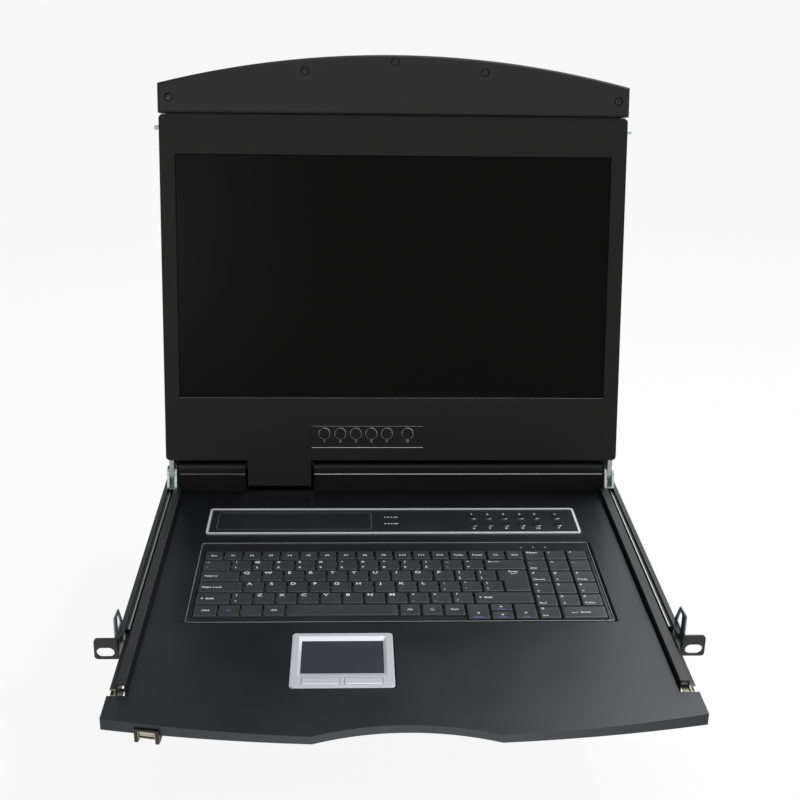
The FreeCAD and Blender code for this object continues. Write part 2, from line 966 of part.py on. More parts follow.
def numpad_keys():
    widths = [pad_pitch - key_gap] * pad_columns
    depth = pad_row_pitch - key_foot_gap
    bottom_widths = [pad_pitch - key_gap, 2 * pad_pitch - key_gap]
    caps = key_row(pad_left, pad_front, depth, bottom_widths)
    for y in spaced(pad_front + pad_row_pitch, pad_row_pitch, pad_rows - 1):
        caps += key_row(pad_left, y, depth, widths)
    last = pad_front + pad_rows * pad_row_pitch
    caps += key_row(pad_left, last, function_row_front() + function_depth - last, widths)
    return Part.makeCompound(caps)


def touch_cavity(z0, z1):
    """Room in the palm rest for the touchpad and its buttons."""
    lap = bezel_lap
    return box(bezel_left + lap, bezel_right - lap, bezel_front + lap, bezel_rear - lap, z0, z1)


def touch_board_top():
    return deck_top + palm_rise - deck_sheet - touch_board_gap


def pad_rectangle(z, side=0, rear=0, front=0):
    """Outline of the pad at a height, grown by a margin at its sides, rear and front."""
    x0 = pad_centre_x - pad_width / 2 - side
    x1 = pad_centre_x + pad_width / 2 + side
    y0 = pad_centre_y - pad_depth / 2 - front
    y1 = pad_centre_y + pad_depth / 2 + rear
    return [V(x0, y0, z), V(x1, y0, z), V(x1, y1, z), V(x0, y1, z)]


def touchpad_bezel():
    """Frame with bevelled edges, a recess that slopes down to the pad and a window for two buttons."""
    palm_top = deck_top + palm_rise
    top = palm_top + bezel_height
    plate = rounded_plate(bezel_left, bezel_right, bezel_front, bezel_rear, palm_top, top,
                          bezel_corner)
    outer_edges = [
        edge for edge in plate.Edges
        if edge.BoundBox.ZLength < 0.01 and abs(edge.BoundBox.ZMin - top) < 0.01
    ]
    plate = plate.makeChamfer(bezel_bevel, outer_edges)
    skirt = touch_cavity(touch_board_top(), palm_top)
    body = fused([plate, skirt])
    slopes = (pad_slope_side, pad_slope_rear, pad_slope_front)
    recess = skinned([
        pad_rectangle(touch_board_top() - 1), pad_rectangle(palm_top - pad_drop),
        pad_rectangle(top, *slopes), pad_rectangle(top + 1, *slopes),
    ])
    half = touch_button_width + touch_button_gap / 2 + button_clearance
    front = touch_button_y - touch_button_depth / 2 - button_clearance
    rear = touch_button_y + touch_button_depth / 2 + button_clearance
    buttons = box(pad_centre_x - half, pad_centre_x + half, front, rear, 0, top + 1)
    half_divider = touch_button_gap / 2 - button_clearance
    divider = box(pad_centre_x - half_divider, pad_centre_x + half_divider, front, rear,
                  touch_board_top(), palm_top + touch_divider_rise)
    return body.cut(recess).cut(buttons).fuse(divider).removeSplitter()


def touchpad():
    """Pad glued on its circuit board, which closes the bezel from below."""
    board_top = touch_board_top()
    board = touch_cavity(board_top - touch_board_sheet, board_top)
    low, high = board_top, deck_top + palm_rise - pad_drop
    pad = skinned([pad_rectangle(low), pad_rectangle(high)])
    return fused([board, pad])


def touch_button():
    x0 = pad_centre_x + touch_button_gap / 2
    y0 = touch_button_y - touch_button_depth / 2
    top = deck_top + palm_rise + bezel_height - touch_button_seat
    bottom = touch_board_top() + touch_button_travel
    button = box(x0, x0 + touch_button_width, y0, y0 + touch_button_depth, bottom, top)
    edges = [
        edge for edge in button.Edges
        if edge.BoundBox.ZLength < 0.01 and abs(edge.BoundBox.ZMin - top) < 0.01
    ]
    return button.makeChamfer(touch_button_bevel, edges)


def control_frame():
    top = deck_top + panel_height
    outer = rounded_plate(panel_left, panel_right, panel_front, panel_rear, deck_top, top,
                          panel_corner)
    s = panel_stroke
    inner = box(panel_left + s, panel_right - s, panel_front + s, panel_rear - s,
                deck_top - 1, top + 1)
    return outer.cut(inner)


def control_overlay():
    s = panel_stroke
    low = deck_top - deck_sheet
    top = deck_top + overlay_proud
    overlay = box(panel_left + s, panel_right - s, panel_front + s, panel_rear - s, low, top)
    for x in dome_columns:
        for y in dome_rows:
            hole = dome_radius + dome_clearance
            overlay = overlay.cut(round_stack(x, y, [(low - 1, hole), (top + 1, hole)]))
    return overlay


def port_buttons():
    """Twelve round buttons with sloped shoulders, in two rows."""
    low = deck_top - deck_sheet + button_seat
    shoulder = deck_top + overlay_proud + dome_rim
    buttons = []
    for x in dome_columns:
        for y in dome_rows:
            buttons.append(round_stack(x, y, [
                (low, dome_radius), (shoulder, dome_radius),
                (shoulder + dome_height, dome_radius - dome_slope)]))
    return Part.makeCompound(buttons)


def usb_angle():
    """Turn of the socket that sets it square to the curved apron."""
    slope = (arc_height(usb_x + 1, front_middle, front_corner, shoulder_half_width)
             - arc_height(usb_x - 1, front_middle, front_corner, shoulder_half_width)) / 2
    return math.degrees(math.atan(slope))


def usb_place(shape):
    """Set a shape drawn about the socket's mouth onto the apron."""
    placed = shape.copy()
    placed.rotate(ORIGIN, Z_AXIS, usb_angle())
    mouth = arc_height(usb_x, front_middle, front_corner, shoulder_half_width)
    placed.translate(V(usb_x, mouth, usb_top))
    return placed


def usb_envelope(gap):
    half = usb_width / 2 + usb_cheek
    return box(-half - gap, half + gap, -5, usb_depth + usb_holder_wall + gap,
               -usb_cheek_drop - 1, usb_holder_roof + gap)


def usb_bracket():
    """Plastic holder with two cheeks that hang below the apron."""
    half = usb_width / 2 + usb_cheek
    front = -usb_holder_front
    rear = usb_depth - usb_cheek_rear_gap
    body = box(-half, half, front, usb_depth + usb_holder_wall,
               -usb_height - usb_holder_floor, usb_holder_roof)
    socket = box(-usb_width / 2, usb_width / 2, -2, usb_depth, -usb_height, 0)
    profile = [(front, 0), (front, -usb_cheek_drop), (usb_cheek_foot, -usb_cheek_drop),
               (rear, -usb_height), (rear, 0)]
    cheeks = [
        prism_along_x(profile, -half, -half + usb_cheek),
        prism_along_x(profile, half - usb_cheek, half),
    ]
    below = box(-usb_width / 2, usb_width / 2, -2, rear, -usb_height - 1, -usb_height)
    return usb_place(fused([body] + cheeks).cut(socket).cut(below))


def usb_port():
    """Metal shell, open at the front, with the contact tongue inside."""
    half = usb_width / 2
    tongue_half = half - usb_tongue_inset
    shell = box(-half, half, -usb_shell_front, usb_depth, -usb_height, 0)
    hollow = box(-half + usb_wall, half - usb_wall, -2, usb_depth - usb_wall,
                 -usb_height + usb_wall, -usb_wall)
    tongue = box(-tongue_half, tongue_half, usb_tongue_front, usb_depth - usb_wall,
                 usb_tongue_low, usb_tongue_high)
    return usb_place(fused([shell.cut(hollow), tongue]))


def rear_module():
    """Steel housing behind the hinge: front riser, side walls, rear wall with its cut-outs."""
    s = module_sheet
    floor_top = unit_bottom + tray_sheet
    low_half = channel_inner
    wide = module_rear_half_width
    ledge = rail_top
    riser = box(-module_half_width, module_half_width, module_front, module_front + s,
                ledge, shelf_top - s)
    riser_low = box(-low_half, low_half, module_front, module_front + s, floor_top, ledge + s)
    pieces = [riser, riser_low]
    for side in (-1, 1):
        def across(a, b):
            return min(side * a, side * b), max(side * a, side * b)
        x0, x1 = across(low_half - s, low_half)
        pieces.append(box(x0, x1, module_front, drawer_rear, floor_top, ledge + s))
        x0, x1 = across(module_half_width - s, module_half_width)
        pieces.append(box(x0, x1, module_front, module_step, ledge, shelf_top - s))
        x0, x1 = across(low_half - s, module_half_width)
        pieces.append(box(x0, x1, module_front, module_step, ledge, ledge + s))
        x0, x1 = across(low_half - s, wide)
        pieces.append(box(x0, x1, module_step, drawer_rear, ledge, ledge + s))
        x0, x1 = across(wide - s, wide)
        pieces.append(box(x0, x1, module_step + s, drawer_rear, ledge, unit_top - s))
        x0, x1 = across(module_half_width - s, wide)
        pieces.append(box(x0, x1, module_step, module_step + s, ledge, shelf_top - s))
    rear_low = box(-low_half, low_half, drawer_rear - s, drawer_rear, floor_top, ledge + s)
    rear_high = box(-wide, wide, drawer_rear - s, drawer_rear, ledge, unit_top - s)
    module = fused(pieces + [rear_low, rear_high])
    notch = box(notch_left, notch_right, module_front - 1, module_front + s + 1,
                deck_top + notch_lift, shelf_top + 1)
    module = module.cut(notch)
    for x in rear_port_places():
        half = port_shell_width / 2 + port_cut_gap
        cut = box(x - half, x + half, drawer_rear - s - 1, drawer_rear + 1,
                  port_shell_bottom - port_cut_gap,
                  port_shell_bottom + port_shell_height + port_cut_gap)
        module = module.cut(cut)
    inlet = box(inlet_x - inlet_width / 2, inlet_x + inlet_width / 2, drawer_rear - s - 1,
                drawer_rear + 1, inlet_bottom, inlet_bottom + inlet_height)
    gap = switch_clearance
    switch = box(switch_x - switch_width / 2 - gap, switch_x + switch_width / 2 + gap,
                 drawer_rear - s - 1, drawer_rear + 1,
                 switch_z - switch_height / 2 - gap, switch_z + switch_height / 2 + gap)
    return module.cut(inlet).cut(switch)


def rear_cover():
    """Stepped lid of the rear module: the low shelf behind the riser, the step and the high top."""
    s = module_sheet
    shelf = box(-module_half_width, module_half_width, module_front, module_step + s,
                shelf_top - s, shelf_top)
    step = box(-module_rear_half_width, module_rear_half_width, module_step, module_step + s,
               shelf_top - s, unit_top)
    top = box(-module_rear_half_width, module_rear_half_width, module_step, drawer_rear,
              unit_top - s, unit_top)
    cover = fused([shelf, step, top])
    notch = box(notch_left, notch_right, module_front - 1, notch_rear, shelf_top - s - 1,
                shelf_top + 1)
    cover = cover.cut(notch)
    for x in spaced(cover_vent_first, cover_vent_pitch, cover_vent_count):
        cover = cover.cut(box(x - vent_width / 2, x + vent_width / 2, cover_vent_y,
                              cover_vent_y + cover_vent_length, unit_top - s - 1, unit_top + 1))
    return cover


def hinge_cover_bar():
    """Rounded bar on the low shelf, in two lengths beside the cable opening."""
    lengths = [(bar_left, notch_left), (notch_right, bar_right)]
    pieces = []
    for x0, x1 in lengths:
        rod = cylinder_along(X_AXIS, V(x0, bar_centre_y, bar_centre_z), bar_radius, x1 - x0)
        foot = box(x0, x1, bar_centre_y - bar_radius, bar_centre_y + bar_radius,
                   shelf_top, bar_centre_z)
        pieces.append(fused([rod, foot]))
    return Part.makeCompound(pieces)


def rear_port_places():
    return spaced(port_first, port_pitch, port_count)


def switch_board():
    """Circuit board on pillars, with its row of shielded sockets through the rear wall."""
    places = rear_port_places()
    x0 = places[0] - port_block_width / 2 - board_margin
    x1 = places[-1] + port_block_width / 2 + board_margin
    board = box(x0, x1, board_front, drawer_rear - module_sheet - board_rear_gap, board_top,
                board_top + board_sheet)
    pieces = [board]
    for x in (x0 + pillar_inset, x1 - pillar_inset):
        for y in pillar_rows:
            pieces.append(box(x - pillar_half, x + pillar_half, y - pillar_half, y + pillar_half,
                              unit_bottom + tray_sheet, board_top))
    for x in places:
        block = box(x - port_block_width / 2, x + port_block_width / 2, port_block_front,
                    drawer_rear - module_sheet, board_top + board_sheet - port_block_seat,
                    board_top + board_sheet + port_block_height)
        half = port_shell_width / 2
        taper = port_shell_height * math.tan(math.radians(port_shell_taper))
        outline = [(x - half + taper, port_shell_bottom), (x + half - taper, port_shell_bottom),
                   (x + half, port_shell_bottom + port_shell_height),
                   (x - half, port_shell_bottom + port_shell_height)]
        shell = prism_along_y(outline, drawer_rear - module_sheet - 1,
                              drawer_rear + port_shell_reach)
        pieces += [block, shell]
    return fused(pieces)


def power_supply():
    """Closed supply box with the mains inlet that shows through the rear wall."""
    case_rear = drawer_rear - supply_rear_gap
    mouth = drawer_rear + inlet_reach
    case = box(supply_left, supply_right, supply_front, case_rear, unit_bottom + tray_sheet,
               supply_top)
    half = inlet_width / 2
    neck = box(inlet_x - half, inlet_x + half, case_rear, mouth, inlet_bottom,
               inlet_bottom + inlet_height)
    w = inlet_wall
    recess = box(inlet_x - half + w, inlet_x + half - w, mouth - inlet_depth, mouth + 1,
                 inlet_bottom + w, inlet_bottom + inlet_height - w)
    pieces = [fused([case, neck]).cut(recess)]
    for dx, dz in inlet_pin_places:
        x = inlet_x + dx
        z = inlet_bottom + dz
        pieces.append(box(x - inlet_pin / 2, x + inlet_pin / 2, mouth - inlet_depth - 1,
                          drawer_rear - inlet_pin_end, z - inlet_pin_height / 2,
                          z + inlet_pin_height / 2))
    return fused(pieces)


def power_switch():
    """Rocker that turns about a pin behind the rear wall. Its upper end is pressed in."""
    half = switch_height / 2
    y = drawer_rear
    back = y - switch_pivot - switch_body_depth
    edge = y - switch_edge
    inner = half - switch_body_inset
    outline = [(back, switch_z - inner), (edge, switch_z - half),
               (y + switch_proud, switch_z - half), (y + switch_dip, switch_z),
               (y + switch_proud, switch_z + half), (edge, switch_z + half),
               (back, switch_z + inner)]
    rocker = prism_along_x(outline, switch_x - switch_width / 2, switch_x + switch_width / 2)
    reach = switch_width / 2 + switch_pin_reach
    pivot = cylinder_along(X_AXIS, V(switch_x - reach, y - switch_pivot, switch_z),
                           switch_pin_radius, 2 * reach)
    switch = fused([rocker, pivot])
    switch.rotate(V(0, y - switch_pivot, switch_z), X_AXIS, switch_rock / 2)
    return switch


def hinge_bracket():
    """Zinc yoke on the side channel: a foot and two cheeks that hold the hinge pin."""
    front = hinge_y - hinge_foot_front
    rear = hinge_y + hinge_foot_rear
    outer_x = hinge_inner + 2 * cheek_sheet + arm_width + 2 * side_gap
    foot = box(module_half_width + side_gap, channel_outer, front, rear, rail_top,
               rail_top + hinge_foot_sheet)
    low = rail_top + hinge_foot_lift
    bridge = box(hinge_inner, outer_x, front, rear, low, rail_top + hinge_foot_sheet)
    pieces = [foot, bridge]
    for x0 in (hinge_inner, outer_x - cheek_sheet):
        disc = shaft_along_x(x0, x0 + cheek_sheet, hinge_y, hinge_z, hinge_cheek_radius)
        web = prism_along_x([(front + hinge_web_front, low), (hinge_y + hinge_web_rear, low),
                             (hinge_y + hinge_cheek_radius, hinge_z),
                             (hinge_y - hinge_cheek_radius, hinge_z)], x0, x0 + cheek_sheet)
        pieces += [disc, web]
    bore = cylinder_along(X_AXIS, V(hinge_inner - 1, hinge_y, hinge_z),
                          hinge_pin_radius + hinge_clearance, outer_x - hinge_inner + 2)
    return fused(pieces).cut(bore)


def lcd_place(shape):
    """Lean a shape drawn in the LCD's own upright frame back to its place above the hinge."""
    placed = shape.copy()
    placed.rotate(ORIGIN, X_AXIS, -lcd_tilt)
    placed.translate(V(0, lcd_foot_y, lcd_foot_z))
    return placed


def hinge_in_lcd():
    """Depth and height of the hinge axis in the LCD's own frame."""
    angle = math.radians(lcd_tilt)
    dy = hinge_y - lcd_foot_y
    dz = hinge_z - lcd_foot_z
    depth = dy * math.cos(angle) - dz * math.sin(angle)
    up = dy * math.sin(angle) + dz * math.cos(angle)
    return depth, up


def lcd_plate(x0, x1, v0, v1, depth0, depth1, radius):
    """Plate in the LCD's plane with round corners, between two depths."""
    plate = stand_up(rounded_plate(x0, x1, v0, v1, 0, depth1 - depth0, radius))
    plate.translate(V(0, depth1, 0))
    return plate


def lcd_bezel():
    """Folded steel front: window, side walls, and the tab that covers the cable below."""
    half = lcd_width / 2
    w = lcd_wall
    shell = lcd_plate(-half, half, 0, lcd_height, 0, bezel_depth, lcd_corner)
    inside = lcd_plate(-half + w, half - w, w, lcd_height - w, lcd_sheet, bezel_depth + 1,
                       lcd_corner - w)
    shell = shell.cut(inside)
    tab_outer = box(tab_left, tab_right, 0, bezel_depth, -tab_drop, w)
    tab_inner = box(tab_left + w, tab_right - w, lcd_sheet, bezel_depth + 1, -tab_drop + w, w + 1)
    throat = box(tab_left + w, tab_right - w, lcd_sheet, bezel_depth + 1, -1, w + 0.5)
    shell = fused([shell, tab_outer.cut(tab_inner)]).cut(throat)
    window = box(-window_width / 2, window_width / 2, -1, lcd_sheet + 0.5, window_bottom,
                 window_bottom + window_height)
    shell = shell.cut(window)
    shell = shell.cut(box(osd_left + osd_opening_inset, osd_right - osd_opening_inset, -1,
                          lcd_sheet + 0.5, osd_button_v - osd_opening_half,
                          osd_button_v + osd_opening_half))
    x0 = hinge_inner + cheek_sheet
    x1 = x0 + arm_width + 2 * side_gap
    for side in (-1, 1):
        a = min(side * x0, side * x1)
        b = max(side * x0, side * x1)
        shell = shell.cut(box(a, b, lcd_sheet, bezel_depth + 1, -1, w + 0.5))
        guide_x = side * (lock_pin_inner + guide_front + guide_length / 2)
        guide = box(guide_x - guide_length / 2, guide_x + guide_length / 2,
                    lcd_sheet - guide_seat, bezel_depth, lock_pin_v - guide_half_height,
                    lock_pin_v + guide_half_height)
        shell = fused([shell, guide])
    bore = shaft_along_x(-half - 1, half + 1, lock_pin_depth, lock_pin_v,
                         lock_pin_radius + lock_pin_clearance, round_sides)
    return lcd_place(shell.cut(bore))


def lcd_back_cover():
    """Back shell with bevelled edges, rows of vents and openings for the hinge arms."""
    half = lcd_width / 2
    w = lcd_wall
    shell = lcd_plate(-half, half, 0, lcd_height, bezel_depth, lcd_thickness, lcd_corner)
    back_edges = [
        edge for edge in shell.Edges
        if edge.BoundBox.YLength < 0.01 and abs(edge.BoundBox.YMin - lcd_thickness) < 0.01
    ]
    shell = shell.makeChamfer(back_bevel, back_edges)
    inside = lcd_plate(-half + w, half - w, w, lcd_height - w, bezel_depth - 1,
                       lcd_thickness - w, lcd_corner - w)
    inner_edges = [
        edge for edge in inside.Edges
        if edge.BoundBox.YLength < 0.01 and abs(edge.BoundBox.YMin - lcd_thickness + w) < 0.01
    ]
    inside = inside.makeChamfer(back_bevel_inside, inner_edges)
    shell = shell.cut(inside)
    x0 = hinge_inner + cheek_sheet
    x1 = x0 + arm_width + 2 * side_gap
    for side in (-1, 1):
        a = min(side * x0, side * x1)
        b = max(side * x0, side * x1)
        shell = shell.cut(box(a, b, bezel_depth - 1, lcd_thickness - 5, -1, w + 0.5))
    for v in (lcd_vent_low, lcd_vent_high):
        for x in spaced(-lcd_vent_pitch * (lcd_vent_count - 1) / 2, lcd_vent_pitch,
                        lcd_vent_count):
            shell = shell.cut(box(x - lcd_vent_length / 2, x + lcd_vent_length / 2,
                                  lcd_thickness - w - 1, lcd_thickness + 1,
                                  v - vent_width / 2, v + vent_width / 2))
    return lcd_place(shell)


def display_panel():
    """Display module: its glass face lies against the bezel from behind."""
    centre = window_bottom + window_height / 2
    module = box(-display_width / 2, display_width / 2, lcd_sheet, lcd_sheet + display_depth,
                 centre - display_height / 2, centre + display_height / 2)
    return lcd_place(module)


def handle_wire(inset, y):
    """Outline of the handle: straight lower edge, short sides and the long arc on top."""
    half = handle_width / 2 - inset
    bottom = handle_bottom + inset
    rise = handle_peak - handle_corner
    radius = ((handle_width / 2) ** 2 + rise ** 2) / (2 * rise) - inset
    peak = handle_peak - inset
    side_top = peak - radius + math.sqrt(radius * radius - half * half)
    points = [V(-half, y, side_top), V(-half, y, bottom), V(half, y, bottom), V(half, y, side_top)]
    edges = [Part.LineSegment(a, b).toShape() for a, b in zip(points, points[1:])]
    edges.append(Part.Arc(points[3], V(0, y, peak), points[0]).toShape())
    return Part.Wire(edges)


def lcd_handle():
    """Curved bar along the LCD's upper edge, with recessed fixing holes."""
    front = -handle_proud
    sections = [
        handle_wire(handle_round, front),
        handle_wire(handle_edge, front + handle_edge_depth),
        handle_wire(0, front + handle_round),
        handle_wire(0, lcd_thickness - handle_round),
        handle_wire(handle_round, lcd_thickness),
    ]
    bar = Part.makeLoft(sections, True, True)
    half = lcd_width / 2 - neck_inset
    neck = box(-half, half, groove_depth, lcd_thickness - neck_rear_gap, lcd_height,
               handle_bottom + neck_lap)
    handle = fused([bar, neck])
    hole = screw_radius + screw_clearance
    for x, v in screw_places:
        recess = stand_up(round_stack(x, v, [(handle_proud - screw_recess, hole),
                                             (handle_proud + 1, hole)]))
        handle = handle.cut(recess)
    return lcd_place(handle)


def lcd_screws():
    """Flat-headed screws in the handle's recesses, each with a six-sided socket."""
    floor = handle_proud - screw_recess
    face = floor + screw_head
    screws = []
    for x, v in screw_places:
        head = round_stack(x, v, [(floor, screw_radius), (face, screw_radius)])
        socket = round_stack(x, v, [(face - screw_socket_depth, screw_socket),
                                    (face + 1, screw_socket)], 6)
        screws.append(stand_up(head.cut(socket)))
    return lcd_place(Part.makeCompound(screws))


def osd_plate():
    plate = lcd_plate(osd_left, osd_right, osd_bottom, osd_top, -osd_height, 0, osd_corner)
    for x in osd_button_places:
        hole = osd_button_radius + osd_clearance
        plate = plate.cut(stand_up(round_stack(x, osd_button_v, [(-1, hole), (osd_height + 1, hole)])))
    return lcd_place(plate)


def osd_button(x):
    front = osd_height + osd_button_proud
    radius = osd_button_radius
    button = round_stack(x, osd_button_v, [
        (-osd_button_seat, radius), (front - osd_button_bevel, radius),
        (front, radius - osd_button_bevel)])
    return lcd_place(stand_up(button))


def hinge_arm():
    """Zinc arm: a flange on the bezel's inside, a web out of the LCD's foot and the hinge pin."""
    depth, up = hinge_in_lcd()
    x0 = hinge_inner + cheek_sheet + side_gap
    x1 = x0 + arm_width
    flange = box(x1 - arm_flange_width, x1, lcd_sheet, lcd_sheet + arm_flange_sheet,
                 arm_low, arm_high)
    web = prism_along_x([(lcd_sheet, arm_high), (lcd_sheet, arm_low),
                         (depth - hinge_lug_radius, up), (depth + hinge_lug_radius, up),
                         (depth + hinge_lug_radius, arm_back_low),
                         (lcd_sheet + arm_web_top, arm_high)], x0, x1)
    lug = shaft_along_x(x0, x1, depth, up, hinge_lug_radius)
    pin_start = hinge_inner - pin_head
    pin_length = 2 * (cheek_sheet + side_gap) + arm_width + 2 * pin_head
    pin = cylinder_along(X_AXIS, V(pin_start, depth, up), hinge_pin_radius, pin_length)
    return lcd_place(fused([flange, web, lug, pin]))


def lock_pin():
    """Spring pin with a chamfered tip, guided by the LCD's side wall and a block behind it."""
    sections = [
        (lock_pin_inner, lock_pin_radius), (lock_pin_reach - lock_pin_tip, lock_pin_radius),
        (lock_pin_reach, lock_pin_radius - lock_pin_tip)]
    return lcd_place(skinned([
        [V(x, lock_pin_depth + dy, lock_pin_v + dz)
         for dy, dz in circle_points(radius, round_sides)]
        for x, radius in sections
    ]))


pairs = {
    "outer_bracket": outer_bracket,
    "lock_plate": lock_plate,
    "slide_outer": slide_outer,
    "rear_bracket": rear_bracket,
    "ball_cage": ball_cage,
    "side_channel": side_channel,
    "slide_inner": slide_inner,
    "hinge_bracket": hinge_bracket,
    "hinge_arm": hinge_arm,
    "lock_pin": lock_pin,
    "touch_button": touch_button,
}

singles = {
    "base_tray": base_tray,
    "keyboard_deck": keyboard_deck,
    "keyboard_frame": keyboard_frame,
    "keyboard_base": keyboard_base,
    "function_keys": function_keys,
    "number_keys": number_keys,
    "upper_keys": upper_keys,
    "home_keys": home_keys,
    "lower_keys": lower_keys,
    "bottom_keys": bottom_keys,
    "space_bar": space_bar,
    "arrow_keys": arrow_keys,
    "numpad_keys": numpad_keys,
    "touchpad_bezel": touchpad_bezel,
    "touchpad": touchpad,
    "control_frame": control_frame,
    "control_overlay": control_overlay,
    "port_buttons": port_buttons,
    "usb_port": usb_port,
    "usb_bracket": usb_bracket,
    "rear_module": rear_module,
    "rear_cover": rear_cover,
    "hinge_cover_bar": hinge_cover_bar,
    "switch_board": switch_board,
    "power_supply": power_supply,
    "power_switch": power_switch,
    "lcd_bezel": lcd_bezel,
    "lcd_back_cover": lcd_back_cover,
    "display_panel": display_panel,
    "lcd_handle": lcd_handle,
    "lcd_screws": lcd_screws,
    "osd_plate": osd_plate,
}


def mirror_across(shape, x):
    return shape.mirror(V(x, 0, 0), X_AXIS)


def build():
    nodes = {name: make() for name, make in singles.items()}
    for name, make in pairs.items():
        right = make()
        nodes["right_" + name] = right
        centre = pad_centre_x if name == "touch_button" else 0
        nodes["left_" + name] = mirror_across(right, centre)
    for index, x in enumerate(osd_button_places):
        nodes["osd_button_%d" % (index + 1)] = osd_button(x)
    return nodes


os.makedirs("parts", exist_ok=True)
for node_name, node_shape in build().items():
    node_shape.exportStep("parts/%s.step" % node_name)
    print(node_name, len(node_shape.Solids), round(node_shape.Volume, 1), node_shape.isValid())
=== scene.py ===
import json
import math

import bpy
import numpy as np
from bpy.props import FloatProperty, FloatVectorProperty, PointerProperty
from mathutils import Matrix, Vector


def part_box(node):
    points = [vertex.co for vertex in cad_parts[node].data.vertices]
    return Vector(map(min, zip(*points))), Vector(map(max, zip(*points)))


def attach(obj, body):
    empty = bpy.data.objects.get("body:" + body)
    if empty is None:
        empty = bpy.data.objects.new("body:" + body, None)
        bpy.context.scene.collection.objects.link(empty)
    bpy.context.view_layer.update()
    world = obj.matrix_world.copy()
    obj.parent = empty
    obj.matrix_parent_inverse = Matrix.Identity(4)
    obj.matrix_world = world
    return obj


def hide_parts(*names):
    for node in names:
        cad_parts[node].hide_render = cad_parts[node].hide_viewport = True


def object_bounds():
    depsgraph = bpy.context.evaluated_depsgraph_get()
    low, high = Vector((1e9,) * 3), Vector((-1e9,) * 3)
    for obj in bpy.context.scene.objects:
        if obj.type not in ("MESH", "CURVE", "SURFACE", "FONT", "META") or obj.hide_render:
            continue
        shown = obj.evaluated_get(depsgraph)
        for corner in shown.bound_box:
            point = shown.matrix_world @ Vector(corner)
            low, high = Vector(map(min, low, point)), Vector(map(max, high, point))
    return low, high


bl_info = {
    "name": "Rack Console Drawer",
    "version": (1, 0, 0),
    "blender": (4, 5, 0),
    "location": "View3D > Sidebar > Rack Console",
    "description": "Keys, prints, finishes and stage for a rack drawer with a fold-up screen",
    "category": "Object",
}

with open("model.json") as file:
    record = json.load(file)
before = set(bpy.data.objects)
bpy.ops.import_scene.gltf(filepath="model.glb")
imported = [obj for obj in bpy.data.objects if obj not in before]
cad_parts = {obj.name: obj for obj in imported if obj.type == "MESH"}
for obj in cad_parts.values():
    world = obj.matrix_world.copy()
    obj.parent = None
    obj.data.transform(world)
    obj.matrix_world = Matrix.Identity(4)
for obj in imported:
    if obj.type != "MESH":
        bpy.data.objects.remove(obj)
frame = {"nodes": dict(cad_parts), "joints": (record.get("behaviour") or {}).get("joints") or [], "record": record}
cad_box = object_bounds()

MM = 0.001
AXIS_X = np.array([1.0, 0.0, 0.0])
AXIS_Y = np.array([0.0, 1.0, 0.0])
AXIS_Z = np.array([0.0, 0.0, 1.0])
ORIGIN = np.zeros(3)

# Camera of the reference view, fitted to the rack standard's sizes. It looks along +Y and down.
PICTURE_SIDE = 800
SENSOR_WIDTH = 36.0
FOCAL_PIXELS = 1285.2
CAMERA_PLACE = Vector((-0.0413, -0.8711, 0.5564))
CAMERA_DOWN = math.radians(21.49)
CAMERA_TURN = math.radians(2.38)
CAMERA_ROLL = math.radians(0.97)

# Points on each corner and on each side of a moulded outline, and round a full turn
CORNER_STEPS = 5
SIDE_STEPS = 4
ROUND_STEPS = 40
# Points across a bead laid along a line, and across one laid round an outline
LINE_BEAD_STEPS = 8
RING_BEAD_STEPS = 7
SHARP_EDGE = math.radians(38)

# Legends of the keys, in each row from the left. A pair is the upper mark and the lower one.
FUNCTION_LEGENDS = ["Esc"] + ["F%d" % number for number in range(1, 13)]
FUNCTION_LEGENDS += ["PrtSc", "Pause", "Ins", "Del"]
NUMBER_LEGENDS = list(zip("~!@#$%^&*()_+", "`1234567890-=")) + ["back"]
UPPER_LEGENDS = ["tab"] + list("QWERTYUIOP") + [("{", "["), ("}", "]")]
HOME_LEGENDS = ["Caps Lock"] + list("ASDFGHJKL") + [(":", ";"), ("\"", "'"), ("|", "\\"), "enter"]
LOWER_LEGENDS = ["shift", ("|", "\\")] + list("ZXCVBNM")
LOWER_LEGENDS += [("<", ","), (">", "."), ("?", "/"), "shift"]
BOTTOM_LEGENDS = ["Ctrl", "fn", "", "Alt", "Alt", "list", "Ctrl"]
ROW_LEGENDS = {
    "function_keys": FUNCTION_LEGENDS, "number_keys": NUMBER_LEGENDS, "upper_keys": UPPER_LEGENDS,
    "home_keys": HOME_LEGENDS, "lower_keys": LOWER_LEGENDS, "bottom_keys": BOTTOM_LEGENDS,
}
ARROW_LEGENDS = ["left", "down", "up", "right"]
ARROW_WORDS = ["Home", "PgDn", "PgUp", "End"]
PAD_LEGENDS = [
    [("0", "Ins"), "enter"],
    [("1", "End"), ("2", "down"), ("3", "PgDn")],
    [("4", "left"), ("5", ""), ("6", "right")],
    [("7", "Home"), ("8", "up"), ("9", "PgUp")],
    [(".", "Del"), ("+", ""), ("-", "")],
    ["Num", "/", "*"],
]

KEY_NODES = {
    "function_keys": "function_key_group",
    "number_keys": "number_key_group",
    "upper_keys": "upper_key_group",
    "home_keys": "home_key_group",
    "lower_keys": "lower_key_group",
    "bottom_keys": "bottom_key_group",
    "space_bar": "space_key",
    "arrow_keys": "arrow_key_group",
    "numpad_keys": "numpad_key_group",
}

LCD_BUTTONS = ["osd_button_%d" % number for number in range(1, 7)]

# Heights of the rings round the screen's buttons and of the seal on the screen
COLLAR_RISE = 0.45 * MM
SEAL_RISE = 0.9 * MM

# Share of a letter's set size that a capital takes, and how wide and how bold letters are drawn
CAPITAL_SHARE = 0.7
LETTER_STRETCH = 1.15
LETTER_BOLD = 0.03
NARROW_KEY = 20 * MM
LEGEND_MARGIN = 1.8 * MM

